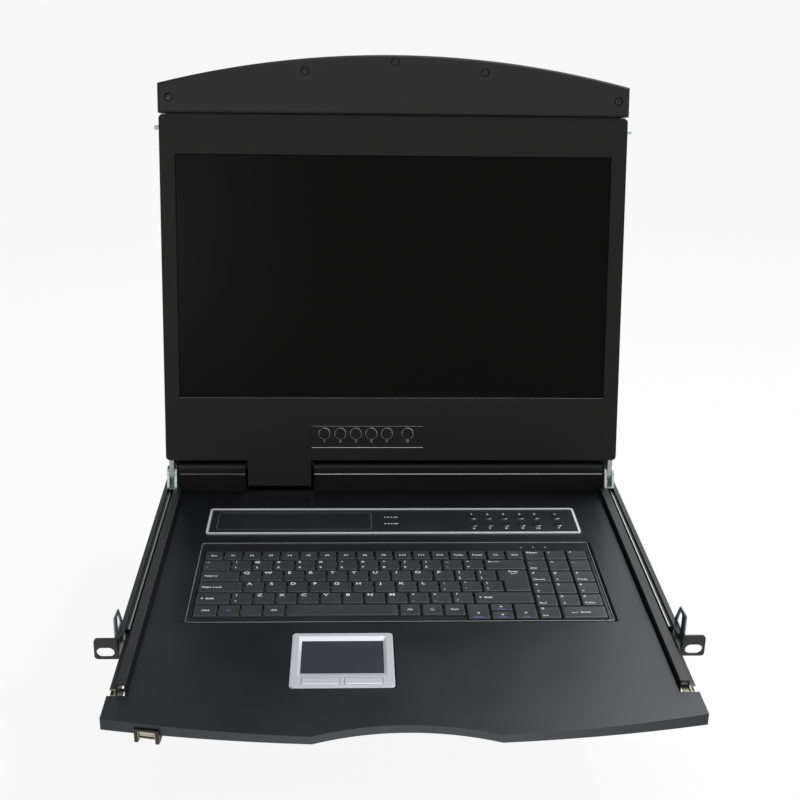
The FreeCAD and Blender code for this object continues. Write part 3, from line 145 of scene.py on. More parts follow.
# Places in millimetres, as far as the next empty line.
# Print of the port panel: outline of the display window, and where the lines of arrows start
PANEL_WINDOW = (-165.0, -21.7, 200.0, 233.5)
PANEL_LINES = [(-9.0, 224.5), (-9.0, 210.9)]
# Status lamps, and the rear sockets' rows of pin holes (height and count), pitch and posts
LAMP_PLACES = [(114.2, 163.4), (125.1, 163.4), (136.1, 163.4)]
SOCKET_ROWS = [(-1.9, 5), (0.0, 5), (1.9, 5)]
SOCKET_PITCH = 2.29
POST_OFFSET = 12.5
# Heights of the deck, of the palm rest and of the rear shelf with both parts of its front edge
DECK_TOP = 4.5
PALM_TOP = 5.1
SHELF_TOP = 23.3
SHELF_LEFT = (-208.0, -144.6)
SHELF_RIGHT = (-76.4, 209.0)

# Where a finish changes: depth of the slides' bare ends and of the rear sockets' shells, and
# distance from the middle and height where the rails' lip has painted shade
SLIDE_BARE_END = -56.0 * MM
SHELL_START = 470.0 * MM
RAIL_EDGE = 217.8 * MM
RAIL_LIP = 6.8 * MM

# The finishes' names start with this, so that the frame's own plain materials stay apart from them
FINISH_PREFIX = "finish_"

# Finishes of CAD nodes whose name differs from their record's slot
OWN_FINISH = {
    "base_tray": "tray_coat", "osd_plate": "plate_gloss", "control_frame": "frame_silver",
    "left_lock_plate": "lock_steel", "right_lock_plate": "lock_steel",
    "left_slide_outer": "rail_zinc_painted_shade", "right_slide_outer": "rail_zinc_painted_shade",
    "left_slide_inner": "slide_black", "right_slide_inner": "slide_black",
}

# Tint of the smooth black plastics' shine, and plain white
COOL = (0.86, 0.9, 1.0)
WHITE = (1.0, 1.0, 1.0, 1.0)

# Stage, in metres. Heights and widths of the room are parts of a unit direction.
FLOOR_SIDE = 30.0
FLOOR_CELLS = 8
FLOOR_WHITE = 0.9
WALL_TOP = 0.28
CEILING_START = 0.45
CEILING_DARK = -0.2
CEILING_BRIGHT = 0.15
KEY_LAMP = Vector((0.75, 0.78, 1.6))
KEY_SIZE = 0.6
FILL_LAMP = Vector((-0.6, -1.3, 0.55))
FILL_SIZE = 0.5
TOP_LAMP = Vector((0.0, -0.15, 1.25))
TOP_SIZE = 0.7


class ConsoleKeys(bpy.types.PropertyGroup):
    corner: FloatProperty(
        name="Corner", description="Radius of a key's corners", default=1.3 * MM, unit="LENGTH")
    edge: FloatProperty(
        name="Edge", description="Rounding along the edge of a key's top", default=0.5 * MM,
        unit="LENGTH")
    dish: FloatProperty(
        name="Dish", description="Depth of the hollow in a key's top", default=0.22 * MM,
        unit="LENGTH")
    letter: FloatProperty(
        name="Letter", description="Height of the letters", default=3.8 * MM, unit="LENGTH")
    digit: FloatProperty(
        name="Digit", description="Height of the digits and signs", default=2.8 * MM, unit="LENGTH")
    word: FloatProperty(
        name="Word", description="Height of the words", default=2.45 * MM, unit="LENGTH")
    ink: FloatProperty(
        name="Ink", description="Thickness of the print", default=0.03 * MM, unit="LENGTH")


class ConsoleTrim(bpy.types.PropertyGroup):
    dome_edge: FloatProperty(
        name="Dome edge", description="Rounding at the shoulder of a port button", default=0.9 * MM,
        unit="LENGTH")
    line: FloatProperty(
        name="Line", description="Width of the printed lines", default=0.45 * MM, unit="LENGTH")
    mark: FloatProperty(
        name="Mark", description="Height of the numbers on the panels", default=2.9 * MM,
        unit="LENGTH")
    collar: FloatProperty(
        name="Collar", description="Width of the bright ring round a screen button",
        default=0.45 * MM, unit="LENGTH")
    gasket: FloatProperty(
        name="Gasket", description="Width of the seal round the screen", default=0.9 * MM,
        unit="LENGTH")
    lamp: FloatProperty(
        name="Lamp", description="Radius of a status lamp", default=0.9 * MM, unit="LENGTH")
    pin: FloatProperty(
        name="Pin", description="Radius of a pin hole in the rear sockets", default=0.45 * MM,
        unit="LENGTH")


class ConsoleColours(bpy.types.PropertyGroup):
    coat: FloatVectorProperty(
        name="Coat", description="Powder coat of the screen housing", subtype="COLOR",
        default=(0.0036, 0.0035, 0.0032), size=3)
    bracket: FloatVectorProperty(
        name="Bracket", description="Coat of the rack brackets", subtype="COLOR",
        default=(0.008, 0.0085, 0.01), size=3)
    deck: FloatVectorProperty(
        name="Deck", description="Coat of the keyboard deck", subtype="COLOR",
        default=(0.0034, 0.0034, 0.004), size=3)
    keys: FloatVectorProperty(
        name="Keys", description="Plastic of the keys", subtype="COLOR",
        default=(0.03, 0.0303, 0.0325), size=3)
    silver: FloatVectorProperty(
        name="Silver", description="Satin trim", subtype="COLOR",
        default=(0.68, 0.68, 0.74), size=3)
    zinc: FloatVectorProperty(
        name="Zinc", description="Zinc plate of the slides", subtype="COLOR",
        default=(0.55, 0.6, 0.59), size=3)
    white_ink: FloatVectorProperty(
        name="White ink", description="Main legends", subtype="COLOR",
        default=(0.75, 0.76, 0.78), size=3)
    blue_ink: FloatVectorProperty(
        name="Blue ink", description="Second legends", subtype="COLOR",
        default=(0.13, 0.15, 0.42), size=3)


class ConsoleStage(bpy.types.PropertyGroup):
    floor_drop: FloatProperty(
        name="Floor drop", description="Height of the drawer's underside above the floor",
        default=0.16, unit="LENGTH")
    floor_colour: FloatVectorProperty(
        name="Floor colour", description="Colour of the floor and the backdrop", subtype="COLOR",
        default=(0.9, 0.9, 0.9), size=3)
    room_light: FloatProperty(
        name="Room light", description="Strength of the light from all around", default=0.55)
    ceiling_left: FloatProperty(
        name="Ceiling left", description="Brightness of the ceiling on the left", default=0.0)
    ceiling_right: FloatProperty(
        name="Ceiling right", description="Brightness of the ceiling on the right", default=1.2)
    key_lamp: FloatProperty(
        name="Key lamp", description="Power of the lamp high behind on the right", default=21.0,
        unit="POWER")
    fill_lamp: FloatProperty(
        name="Fill lamp", description="Power of the small lamp at the front left", default=2.0,
        unit="POWER")
    top_lamp: FloatProperty(
        name="Top lamp", description="Power of the broad lamp overhead", default=3.2,
        unit="POWER")


def feed(tree, socket, value):
    """Link a shader value to a socket, or set the socket to a plain one."""
    if isinstance(value, Value):
        tree.links.new(value.socket, socket)
    elif value is not None:
        socket.default_value = value


class Value:
    """A value in a material. Arithmetic on it adds Math nodes to the material's tree."""

    def __init__(self, tree, socket):
        self.tree = tree
        self.socket = socket

    def math(self, operation, first, second):
        node = self.tree.nodes.new("ShaderNodeMath")
        node.operation = operation
        feed(self.tree, node.inputs[0], first)
        feed(self.tree, node.inputs[1], second)
        return Value(self.tree, node.outputs[0])

    def __add__(self, other):
        return self.math("ADD", self, other)

    def __radd__(self, other):
        return self.math("ADD", other, self)

    def __sub__(self, other):
        return self.math("SUBTRACT", self, other)

    def __mul__(self, other):
        return self.math("MULTIPLY", self, other)

    def __abs__(self):
        return self.math("ABSOLUTE", self, None)


class Recipe:
    """A material being mixed: its node tree, and the object's own coordinates."""

    def __init__(self, name, tree=None, coordinates="Object"):
        if tree is None:
            self.material = bpy.data.materials.new(FINISH_PREFIX + name)
            self.material.use_nodes = True
            tree = self.material.node_tree
        self.tree = tree
        self.tree.nodes.clear()
        self.place = self.node("ShaderNodeTexCoord", output=coordinates)

    def seen(self):
        """One for the rays of the camera and for those that gloss or glass send on, else zero."""
        rays = [self.node("ShaderNodeLightPath", output=name)
                for name in ("Is Camera Ray", "Is Glossy Ray", "Is Transmission Ray")]
        return rays[0] + rays[1] + rays[2]

    def node(self, kind, settings=None, inputs=None, output=0):
        """Add a node of a type with its settings and its sockets, and give one output."""
        node = self.tree.nodes.new(kind)
        for name, value in (settings or {}).items():
            setattr(node, name, value)
        for name, value in (inputs or {}).items():
            feed(self.tree, node.inputs[name], value)
        return Value(self.tree, node.outputs[output]) if len(node.outputs) else None

    def noise(self, scale, detail=2.0, stretch=(1.0, 1.0, 1.0)):
        """Cloudy value between 0 and 1. The scale is in features per metre."""
        place = self.node("ShaderNodeMapping", inputs={"Vector": self.place, "Scale": stretch})
        return self.node("ShaderNodeTexNoise", inputs={"Vector": place, "Scale": scale,
                                                       "Detail": detail})

    def spread(self, value, low, high):
        """Stretch the part of a value between low and high over 0 to 1."""
        return self.node("ShaderNodeMapRange", inputs={"Value": value, "From Min": low,
                                                       "From Max": high})

    def tint(self, share, first, second):
        """Colour that goes from the first to the second with the share."""
        return self.node("ShaderNodeMix", {"data_type": "RGBA"},
                         {0: share, 6: first, 7: second}, output=2)

    def shades(self, share, colour, dark, light):
        """A colour that goes from a darker to a lighter shade with the share."""
        return self.tint(share, shade_of(colour, dark), shade_of(colour, light))

    def along(self, axis):
        """Distance from the origin along an axis."""
        return self.node("ShaderNodeSeparateXYZ", inputs={"Vector": self.place}, output=axis)

    def relief(self, height, depth, strength=1.0, edge=0.0):
        """Normal of a surface with a fine relief, and with edges softened by a radius."""
        inputs = {"Height": height, "Distance": depth, "Strength": strength}
        if edge:
            inputs["Normal"] = self.node("ShaderNodeBevel", {"samples": 4}, {"Radius": edge})
        return self.node("ShaderNodeBump", inputs=inputs)

    def finish(self, colour, roughness, normal=None, metallic=0.0, **constants):
        """Close the material with its shader. Constants are set on the shader's own sockets."""
        inputs = {"Base Color": colour, "Roughness": roughness, "Normal": normal,
                  "Metallic": metallic}
        inputs.update({name.replace("_", " ").title(): value for name, value in constants.items()})
        inputs = {name.replace("Ior", "IOR"): value for name, value in inputs.items()}
        shader = self.node("ShaderNodeBsdfPrincipled", inputs=inputs)
        self.node("ShaderNodeOutputMaterial", inputs={"Surface": shader})
        return self.material


def finish_named(name):
    return bpy.data.materials[FINISH_PREFIX + name]


def shade_of(colour, factor):
    """A colour made lighter or darker, with its alpha."""
    return tuple(min(channel * factor, 1.0) for channel in colour) + (1.0,)


def powder_coat(name, colour, grain=1500.0, gloss=0.5, shine=0.24):
    """Textured powder coat: orange-peel relief, small light grains and slow patches of shade."""
    mix = Recipe(name)
    patches = mix.noise(9.0, 3.0)
    grains = mix.noise(grain, 1.0)
    sparks = mix.spread(mix.noise(grain * 0.9, 0.0), 0.66, 0.74)
    body = mix.shades(patches, colour, 0.8, 1.2)
    body = mix.tint(sparks * 0.35, body, shade_of(colour, 4.0))
    rough = gloss + patches * 0.1 - sparks * 0.15
    normal = mix.relief(grains, 0.12 * MM, 0.55, edge=0.45 * MM)
    return mix.finish(body, rough, normal, specular_ior_level=shine)


def moulded(name, colour, gloss=0.42, shine=0.5, grain=2600.0, edge=0.25 * MM,
            cast=(1.0, 1.0, 1.0)):
    """Moulded plastic or smooth paint: fine spark-eroded grain and faint handling marks."""
    mix = Recipe(name)
    patches = mix.noise(14.0, 4.0)
    grains = mix.noise(grain, 1.0)
    body = mix.shades(patches, colour, 0.86, 1.14)
    rough = gloss + (patches - 0.5) * 0.16
    normal = mix.relief(grains, 0.03 * MM, 0.5, edge=edge)
    return mix.finish(body, rough, normal, specular_ior_level=shine,
                      specular_tint=shade_of(cast, 1.0))


def plated(name, colour, gloss=0.32, stretch=(60.0, 1.0, 60.0), scale=40.0):
    """Plated steel: drawn streaks along the strip and a cloudy passivated bloom."""
    mix = Recipe(name)
    bloom = mix.noise(55.0, 3.0)
    streaks = mix.noise(scale, 2.0, stretch)
    body = mix.shades(bloom, colour, 0.78, 1.15)
    body = mix.tint(streaks * 0.4, body, shade_of(colour, 0.6))
    rough = gloss + bloom * 0.1 + streaks * 0.1
    normal = mix.relief(streaks, 0.02 * MM, 0.4, edge=0.25 * MM)
    return mix.finish(body, rough, normal, metallic=0.92)


def blacked_slide(name, colour, bare):
    """Black passivated slide whose front end is left bare: the coat stops at SLIDE_BARE_END."""
    mix = Recipe(name)
    bloom = mix.noise(70.0, 3.0)
    coated = mix.spread(mix.along("Y") + bloom * 0.6 * MM, SLIDE_BARE_END,
                        SLIDE_BARE_END + 0.6 * MM)
    body = mix.tint(coated, shade_of(bare, 1.0), shade_of(colour, 1.0))
    rough = 0.36 + bloom * 0.12
    normal = mix.relief(bloom, 0.03 * MM, 0.3, edge=0.25 * MM)
    return mix.finish(body, rough, normal, metallic=coated * -0.9 + 0.9)


def greased_rail(name, colour):
    """Zinc rail with painted shade: its lip is near black outside a bright running edge near the drawer."""
    mix = Recipe(name)
    bloom = mix.noise(55.0, 3.0)
    outside = mix.spread(abs(mix.along("X")) + bloom * 0.3 * MM, RAIL_EDGE, RAIL_EDGE + 0.3 * MM)
    painted_shade = outside * mix.spread(mix.along("Z"), RAIL_LIP - 0.2 * MM, RAIL_LIP)
    body = mix.shades(bloom, colour, 0.78, 1.15)
    # Painted shade: the outer part of the lip's top turns near black under the bracket's flange.
    body = mix.tint(painted_shade, body, (0.012, 0.0125, 0.0125, 1.0))
    normal = mix.relief(bloom, 0.02 * MM, 0.4, edge=0.25 * MM)
    return mix.finish(body, 0.32 + bloom * 0.1, normal, metallic=painted_shade * -0.92 + 0.92)


def satin_trim(name, colour):
    """Silver-painted trim: a mica sparkle in a satin coat."""
    mix = Recipe(name)
    mica = mix.noise(3200.0, 0.0)
    patches = mix.noise(20.0, 2.0)
    body = mix.shades(mica, colour, 0.85, 1.15)
    rough = 0.34 + patches * 0.1
    normal = mix.relief(mica, 0.02 * MM, 0.3, edge=0.3 * MM)
    return mix.finish(body, rough, normal, metallic=0.35)


def screen_glass(name):
    """Unlit screen behind its anti-glare film: a deep black with faint warm patches of painted sheen."""
    mix = Recipe(name)
    film = mix.noise(5200.0, 0.0)
    painted_sheen_patches = mix.noise(6.0, 2.0)
    # Painted sheen: lighter, warmer patches stand in for the glass's faint sheen.
    body = mix.tint(painted_sheen_patches, (0.001, 0.0009, 0.0008, 1.0), (0.002, 0.0018, 0.0015, 1.0))
    rough = 0.2 + painted_sheen_patches * 0.08
    normal = mix.relief(film, 0.01 * MM, 0.15)
    return mix.finish(body, rough, normal, specular_ior_level=0.06)


def ink(name, colour):
    """Screen-printed ink, a little uneven where it is worn."""
    mix = Recipe(name)
    wear = mix.noise(900.0, 3.0)
    body = mix.shades(wear, colour, 0.78, 1.1)
    normal = mix.relief(wear, 0.01 * MM, 0.3)
    return mix.finish(body, 0.45 + wear * 0.2, normal, specular_ior_level=0.3)


def circuit_board(name):
    """Green solder mask over faint copper tracks; behind SHELL_START the sockets' plated shells."""
    mix = Recipe(name)
    tracks = mix.spread(mix.noise(260.0, 1.0, (1.0, 6.0, 1.0)), 0.48, 0.52)
    shell = mix.spread(mix.along("Y"), SHELL_START, SHELL_START + 0.2 * MM)
    body = mix.tint(tracks, (0.012, 0.07, 0.03, 1.0), (0.02, 0.12, 0.05, 1.0))
    body = mix.tint(shell, body, (0.5, 0.52, 0.52, 1.0))
    normal = mix.relief(tracks, 0.03 * MM, 0.3)
    return mix.finish(body, 0.35 + tracks * 0.1, normal, metallic=shell * 0.9)


def make_finishes(colours):
    """All the finishes of the drawer, by name."""
    coat = tuple(colours.coat)
    powder_coat("black_coat", coat)
    powder_coat("tray_coat", coat, grain=1300.0, gloss=0.55)
    powder_coat("bracket_coat", tuple(colours.bracket), grain=1900.0, gloss=0.4, shine=0.5)
    moulded("deck_coat", tuple(colours.deck), gloss=0.4, shine=0.6, grain=1700.0, edge=0.5 * MM,
            cast=COOL)
    moulded("handle_black", coat, gloss=0.5, grain=1500.0, shine=0.36, edge=0.5 * MM)
    moulded("key_plastic", tuple(colours.keys), gloss=0.42, shine=0.6, cast=COOL)
    moulded("frame_plastic", (0.009, 0.009, 0.0105), gloss=0.34, shine=0.8, edge=0.3 * MM,
            cast=COOL)
    moulded("pad_surface", (0.024, 0.028, 0.037), gloss=0.4, grain=3200.0)
    moulded("overlay_film", (0.013, 0.0135, 0.0155), gloss=0.36, shine=0.9, grain=2400.0, cast=COOL)
    moulded("button_black", (0.008, 0.008, 0.0085), gloss=0.22)
    moulded("connector_plastic", (0.02, 0.0185, 0.019), gloss=0.5)
    moulded("tongue_plastic", (0.6, 0.58, 0.5), gloss=0.4)
    plated("zinc", tuple(colours.zinc))
    greased_rail("rail_zinc_painted_shade", tuple(colours.zinc))
    blacked_slide("slide_black", (0.006, 0.006, 0.006), (0.36, 0.33, 0.26))
    plated("connector_metal", (0.62, 0.56, 0.42), gloss=0.3)
    # Bright metal of the buttons' collars, also the bright copy of the painted highlight beads.
    plated("collar_and_highlight_metal", (0.8, 0.8, 0.83), gloss=0.22)
    # Dim copy of the painted highlight beads, for edges that lie in shade.
    plated("dim_highlight_metal", (0.3, 0.3, 0.32), gloss=0.3)
    # Dim painted highlight on the side channels' inner edges.
    moulded("dim_highlight_plastic", (0.03, 0.031, 0.034), gloss=0.22, shine=1.0)
    # Lighter copy of the silver trim, for painted highlights on the touch buttons' edges.
    satin_trim("highlight_silver", (0.92, 0.92, 0.97))
    satin_trim("frame_silver", (0.88, 0.88, 0.92))
    plated("lock_steel", (0.24, 0.28, 0.33), gloss=0.3)
    moulded("dome_plastic", (0.022, 0.0225, 0.0245), gloss=0.18, shine=1.0)
    # Light grey of the painted highlights on the keyboard frame's rim and the window's foot.
    moulded("highlight_grey_plastic", (0.13, 0.132, 0.14), gloss=0.24, shine=0.9)
    # Near black of the painted shadow strips round the keyboard and the touchpad.
    moulded("painted_shadow_black", (0.0006, 0.0006, 0.0007), gloss=0.8, shine=0.05)
    moulded("plate_gloss", (0.003, 0.003, 0.0032), gloss=0.2, shine=0.16)
    ink("label_ink", (0.42, 0.42, 0.43))
    # Near-black seal: painted shadow in the gap round the screen's window.
    moulded("seal_shadow_black", (0.002, 0.002, 0.002), gloss=0.7, shine=0.1)
    moulded("lamp_lens", (0.35, 0.37, 0.36), gloss=0.2)
    moulded("screw_steel", (0.006, 0.006, 0.006), gloss=0.24, shine=0.4)
    for name, shade in (("steel_plate", 0.42), ("supply_case", 0.5)):
        plated(name, (shade, shade, shade), gloss=0.42, stretch=(1.0, 40.0, 1.0), scale=70.0)
    satin_trim("silver_trim", tuple(colours.silver))
    screen_glass("display_glass")
    circuit_board("board")
    ink("white_ink", tuple(colours.white_ink))
    ink("blue_ink", tuple(colours.blue_ink))
    ink("grey_ink", (0.16, 0.165, 0.175))


def mesh_points(mesh):
    points = np.empty(len(mesh.vertices) * 3, dtype=np.float32)
    mesh.vertices.foreach_get("co", points)
    return points.reshape(-1, 3).astype(float)


def node_points(node):
    return mesh_points(frame["nodes"][node].data)


def solids_of(node):
    """Corner points of each separate solid in a node.

    Triangles that share a corner take the lowest label among them until nothing changes."""
    mesh = frame["nodes"][node].data
    corners = np.empty(len(mesh.loops), dtype=np.int32)
    mesh.loops.foreach_get("vertex_index", corners)
    places, same = np.unique(np.round(node_points(node), 6), axis=0, return_inverse=True)
    triangles = same.reshape(-1)[corners].reshape(-1, 3)
    label = np.arange(len(places))
    changed = True
    while changed:
        lowest = label[triangles].min(axis=1)
        updated = label.copy()
        for column in range(3):
            np.minimum.at(updated, triangles[:, column], lowest)
        changed = bool((updated != label).any())
        label = updated
    return [places[label == name] for name in np.unique(label)]


def extent_along(points, direction):
    """Lowest and highest reach of points along a direction."""
    reach = points @ np.array(direction)
    return reach.min(), reach.max()


def middle(reach):
    return (reach[0] + reach[1]) / 2


def round_solids(node, right, up):
    """Centre, radius and lowest and highest level of each solid that is round about one axis.

    Right and up span the plane across that axis, and the centres lie in it."""
    for points in solids_of(node):
        across = extent_along(points, right)
        centre = middle(across) * right + middle(extent_along(points, up)) * up
        low, high = extent_along(points, np.cross(right, up))
        yield centre, (across[1] - across[0]) / 2, low, high


def stack_faces(levels, around):
    """Faces of closed rings that stand on each other, with a fan of triangles at each end.

    The two fan centres come after the rings' points: first the foot's, then the head's."""
    here = np.arange(around)
    after = (here + 1) % around
    base = np.arange(levels - 1)[:, None] * around
    walls = np.stack([base + here, base + after, base + around + after, base + around + here], -1)
    foot = np.full(around, levels * around)
    top = (levels - 1) * around
    fans = np.concatenate([np.stack([after, here, foot], -1),
                           np.stack([top + here, top + after, foot + 1], -1)])
    return walls.reshape(-1, 4).tolist() + fans.tolist()


def band_faces(sections, around):
    """Faces of a closed band: sections that follow a closed path, each a closed ring of points."""
    i = np.arange(sections)[:, None]
    j = np.arange(around)[None, :]
    i_next = (i + 1) % sections
    j_next = (j + 1) % around
    faces = np.stack([i * around + j, i_next * around + j, i_next * around + j_next,
                      i * around + j_next], -1)
    return faces.reshape(-1, 4).tolist()


def merged(shapes):
    """One shape from several, each a pair of points and faces."""
    points = [np.asarray(shape[0]) for shape in shapes]
    starts = np.cumsum([0] + [len(each) for each in points[:-1]])
    faces = []
    for start, (_, own) in zip(starts.tolist(), shapes):
        faces += [[corner + start for corner in face] for face in own]
    return np.concatenate(points), faces


def add_piece(name, shape, finish, body, replaced=()):
    """Make a piece from points and faces, at its place, and let it ride on a body."""
    points, faces = shape
    mesh = bpy.data.meshes.new(name)
    mesh.from_pydata(points.tolist(), [], faces)
    mesh.shade_smooth()
    mesh.set_sharp_from_angle(angle=SHARP_EDGE)
    mesh.materials.append(finish_named(finish))
    mesh.update()
    piece = bpy.data.objects.new(name, mesh)
    bpy.context.scene.collection.objects.link(piece)
    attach(piece, body)
    if replaced:
        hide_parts(*replaced)


def moved_corners(corners, inset):
    """Corners of an outline moved inwards, each along the sum of its two edges' inward normals."""
    ahead = np.roll(corners, -1, axis=0) - corners
    ahead = ahead / np.linalg.norm(ahead, axis=1, keepdims=True)
    behind = np.roll(ahead, 1, axis=0)
    inward = np.stack([-ahead[:, 1] - behind[:, 1], ahead[:, 0] + behind[:, 0]], -1)
    return corners + inset * inward


def rounded_outline(corners, radius):
    """Outline with round corners, run anticlockwise.

    Each corner is a quadratic curve between the points at the radius before and after it, and the
    side that follows is divided evenly."""
    after = np.roll(corners, -1, axis=0)
    ahead = after - corners
    ahead = ahead / np.linalg.norm(ahead, axis=1, keepdims=True)
    behind = np.roll(ahead, 1, axis=0)
    start = (corners - radius * behind)[:, None, :]
    end = (corners + radius * ahead)[:, None, :]
    t = np.linspace(0, 1, CORNER_STEPS)[None, :, None]
    arcs = (1 - t) ** 2 * start + 2 * t * (1 - t) * corners[:, None, :] + t ** 2 * end
    s = np.linspace(0, 1, SIDE_STEPS + 2)[None, 1:-1, None]
    far = (after - radius * ahead)[:, None, :]
    sides = end + s * (far - end)
    return np.concatenate([arcs, sides], axis=1).reshape(-1, 2)


def rectangle(x0, x1, y0, y1):
    return np.array([[x0, y0], [x1, y0], [x1, y1], [x0, y1]])


def band(inner, outer, low, high, inner_high=None):
    """Flat closed strip between two outlines. Its inner edge may be lower than its outer one."""
    inner_high = high if inner_high is None else inner_high
    edges = [(outer, low), (outer, high), (inner, inner_high), (inner, low)]
    sections = np.stack([np.concatenate([outline, np.full((len(outline), 1), level)], 1)
                         for outline, level in edges], axis=1)
    return sections.reshape(-1, 3), band_faces(len(inner), len(edges))


def half_round(ends, level, width, rise):
    """Bead along X between two ends: its section is half an ellipse standing on the plane z = 0."""
    turn = np.linspace(0, np.pi, LINE_BEAD_STEPS)
    section = np.stack([level + width / 2 * np.cos(turn), rise * np.sin(turn)], -1)
    along = np.linspace(ends[0], ends[1], 5)
    points = np.zeros((len(along), LINE_BEAD_STEPS, 3))
    points[:, :, 0] = along[:, None]
    points[:, :, 1:] = section
    caps = points[[0, -1]].mean(axis=1)
    return np.concatenate([points.reshape(-1, 3), caps]), stack_faces(*points.shape[:2])


def bead_ring(corners, radius, width, rise):
    """Bead along a closed outline: half an ellipse in section, width inside the outline."""
    rings = []
    for angle in np.linspace(0, np.pi, RING_BEAD_STEPS):
        inset = width / 2 * (1 - math.cos(angle))
        ring = rounded_outline(moved_corners(corners, inset), max(radius - inset, 0.2 * MM))
        rings.append(np.concatenate([ring, np.full((len(ring), 1), rise * math.sin(angle))], 1))
    points = np.stack(rings, axis=1)
    return points.reshape(-1, 3), band_faces(len(points), RING_BEAD_STEPS)


def rings_about(pairs, centre, right, up, steps, swell=1.0):
    """Rings about the axis that right and up span, one for each pair of height and radius.

    A point is centre + radius * swell * (cos a * right + sin a * up) + height * axis."""
    angle = np.linspace(0, 2 * np.pi, steps, endpoint=False)
    circle = swell * (np.cos(angle)[:, None] * right + np.sin(angle)[:, None] * up)
    pairs = np.array(pairs)
    axis = np.cross(right, up)
    return centre + pairs[:, 1, None, None] * circle + pairs[:, 0, None, None] * axis


def closed_rings(rings, low, high, centre, right, up):
    """Solid of rings that stand on each other, with its ends closed at a low and a high level."""
    ends = centre + np.array([[low], [high]]) * np.cross(right, up)
    return np.concatenate([rings.reshape(-1, 3), ends]), stack_faces(*rings.shape[:2])


def socket_head(profile, socket, centre, right, up, steps=36):
    """Round screw head with a six-sided socket.

    The head's rings are those of a turned profile. The socket's rings have the radius
    r * cos 30 / cos(a - 30) within each sixth of a turn, which makes them hexagons."""
    angle = np.linspace(0, 2 * np.pi, steps, endpoint=False)
    sixth = np.mod(angle, np.pi / 3) - np.pi / 6
    hexagon = math.cos(math.pi / 6) / np.cos(sixth)[:, None]
    rings = np.concatenate([rings_about(profile, centre, right, up, steps),
                            rings_about(socket, centre, right, up, steps, hexagon)])
    return closed_rings(rings, profile[0][0], socket[-1][0], centre, right, up)


def spun(profile, centre, right=AXIS_X, up=AXIS_Y, steps=ROUND_STEPS):
    """Round solid: pairs of height and radius, turned about an axis."""
    rings = rings_about(profile, centre, right, up, steps)
    return closed_rings(rings, profile[0][0], profile[-1][0], centre, right, up)


def spun_ring(section):
    """Closed ring round the Z axis: a closed section of heights and radii, turned about it."""
    rings = rings_about(section, ORIGIN, AXIS_X, AXIS_Y, ROUND_STEPS).transpose(1, 0, 2)
    return rings.reshape(-1, 3), band_faces(ROUND_STEPS, len(section))


def flat_mark(outline, thickness):
    """Thin plate with the given outline, which runs anticlockwise, on the plane z = 0."""
    outline = np.array(outline, dtype=float)
    count = len(outline)
    low = np.concatenate([outline, np.zeros((count, 1))], 1)
    high = np.concatenate([outline, np.full((count, 1), thickness)], 1)
    here = list(range(count))
    faces = [here[::-1], [count + k for k in here]]
    faces += [[k, (k + 1) % count, count + (k + 1) % count, count + k] for k in here]
    return np.concatenate([low, high]), faces


def letters(text, height, thickness):
    """Raised bold letters with their left end and foot line at the origin."""
    curve = bpy.data.curves.new("letters", "FONT")
    curve.body = text
    curve.size = height / CAPITAL_SHARE
    curve.offset = height * LETTER_BOLD
    curve.extrude = thickness / 2
    curve.resolution_u = 3
    holder = bpy.data.objects.new("letters", curve)
    bpy.context.scene.collection.objects.link(holder)
    bpy.context.view_layer.update()
    seen = holder.evaluated_get(bpy.context.evaluated_depsgraph_get())
    mesh = bpy.data.meshes.new_from_object(seen)
    points = mesh_points(mesh)
    faces = [list(face.vertices) for face in mesh.polygons]
    bpy.data.objects.remove(holder)
    bpy.data.curves.remove(curve)
    bpy.data.meshes.remove(mesh)
    points[:, 2] += thickness / 2
    points[:, 0] = (points[:, 0] - points[:, 0].min()) * LETTER_STRETCH
    return points, faces


def arrow_mark(direction, size, thickness):
    """Solid triangle that points left, right, up or down, centred on the origin."""
    turn = {"right": 0.0, "up": 0.5, "left": 1.0, "down": 1.5}[direction] * math.pi
    angle = turn + np.array([0.0, 2.0, 4.0]) * math.pi / 3
    return flat_mark(np.stack([np.cos(angle), np.sin(angle)], -1) * size * 0.6, thickness)


def bar_mark(x0, x1, y0, y1, thickness):
    return flat_mark(rectangle(x0, x1, y0, y1), thickness)


def ring_mark(centre, radius, width, thickness):
    """Flat printed ring."""
    angle = np.linspace(0, 2 * np.pi, ROUND_STEPS, endpoint=False)
    circle = np.stack([np.cos(angle), np.sin(angle)], -1)
    inner = np.array(centre) + circle * (radius - width / 2)
    outer = np.array(centre) + circle * (radius + width / 2)
    return band(inner, outer, 0, thickness)


def shifted(shape, x, y):
    points, faces = shape
    return points + np.array([x, y, 0.0]), faces


def shape_width(shape):
    return shape[0][:, 0].max()


def tab_mark(size, thickness):
    """Two arrows one above the other, each against a short bar."""
    shapes = []
    for side in (-1, 1):
        y = side * size * 0.4
        shapes.append(bar_mark(-size, size, y - size * 0.07, y + size * 0.07, thickness))
        head = arrow_mark("right" if side < 0 else "left", size * 0.55, thickness)
        shapes.append(shifted(head, -side * size * 0.9, y))
        x = side * size * 1.2
        shapes.append(bar_mark(x - size * 0.07, x + size * 0.07, y - size * 0.25, y + size * 0.25,
                               thickness))
    return merged(shapes)


def hooked_arrow(size, thickness):
    """Arrow of the entry key: a shaft to the left with a hook that rises at its right end."""
    return merged([
        bar_mark(-size, size, -size * 0.09, size * 0.09, thickness),
        bar_mark(size * 0.85, size, size * 0.09, size * 0.7, thickness),
        shifted(arrow_mark("left", size * 0.7, thickness), -size * 0.9, 0),
    ])


def shift_arrow(size, thickness):
    """Outline of a broad arrow that points up."""
    return merged([
        flat_mark([(-size * 0.75, 0), (size * 0.75, 0), (0, size * 0.8)], thickness),
        bar_mark(-size * 0.35, size * 0.35, -size * 0.5, 0, thickness),
    ])


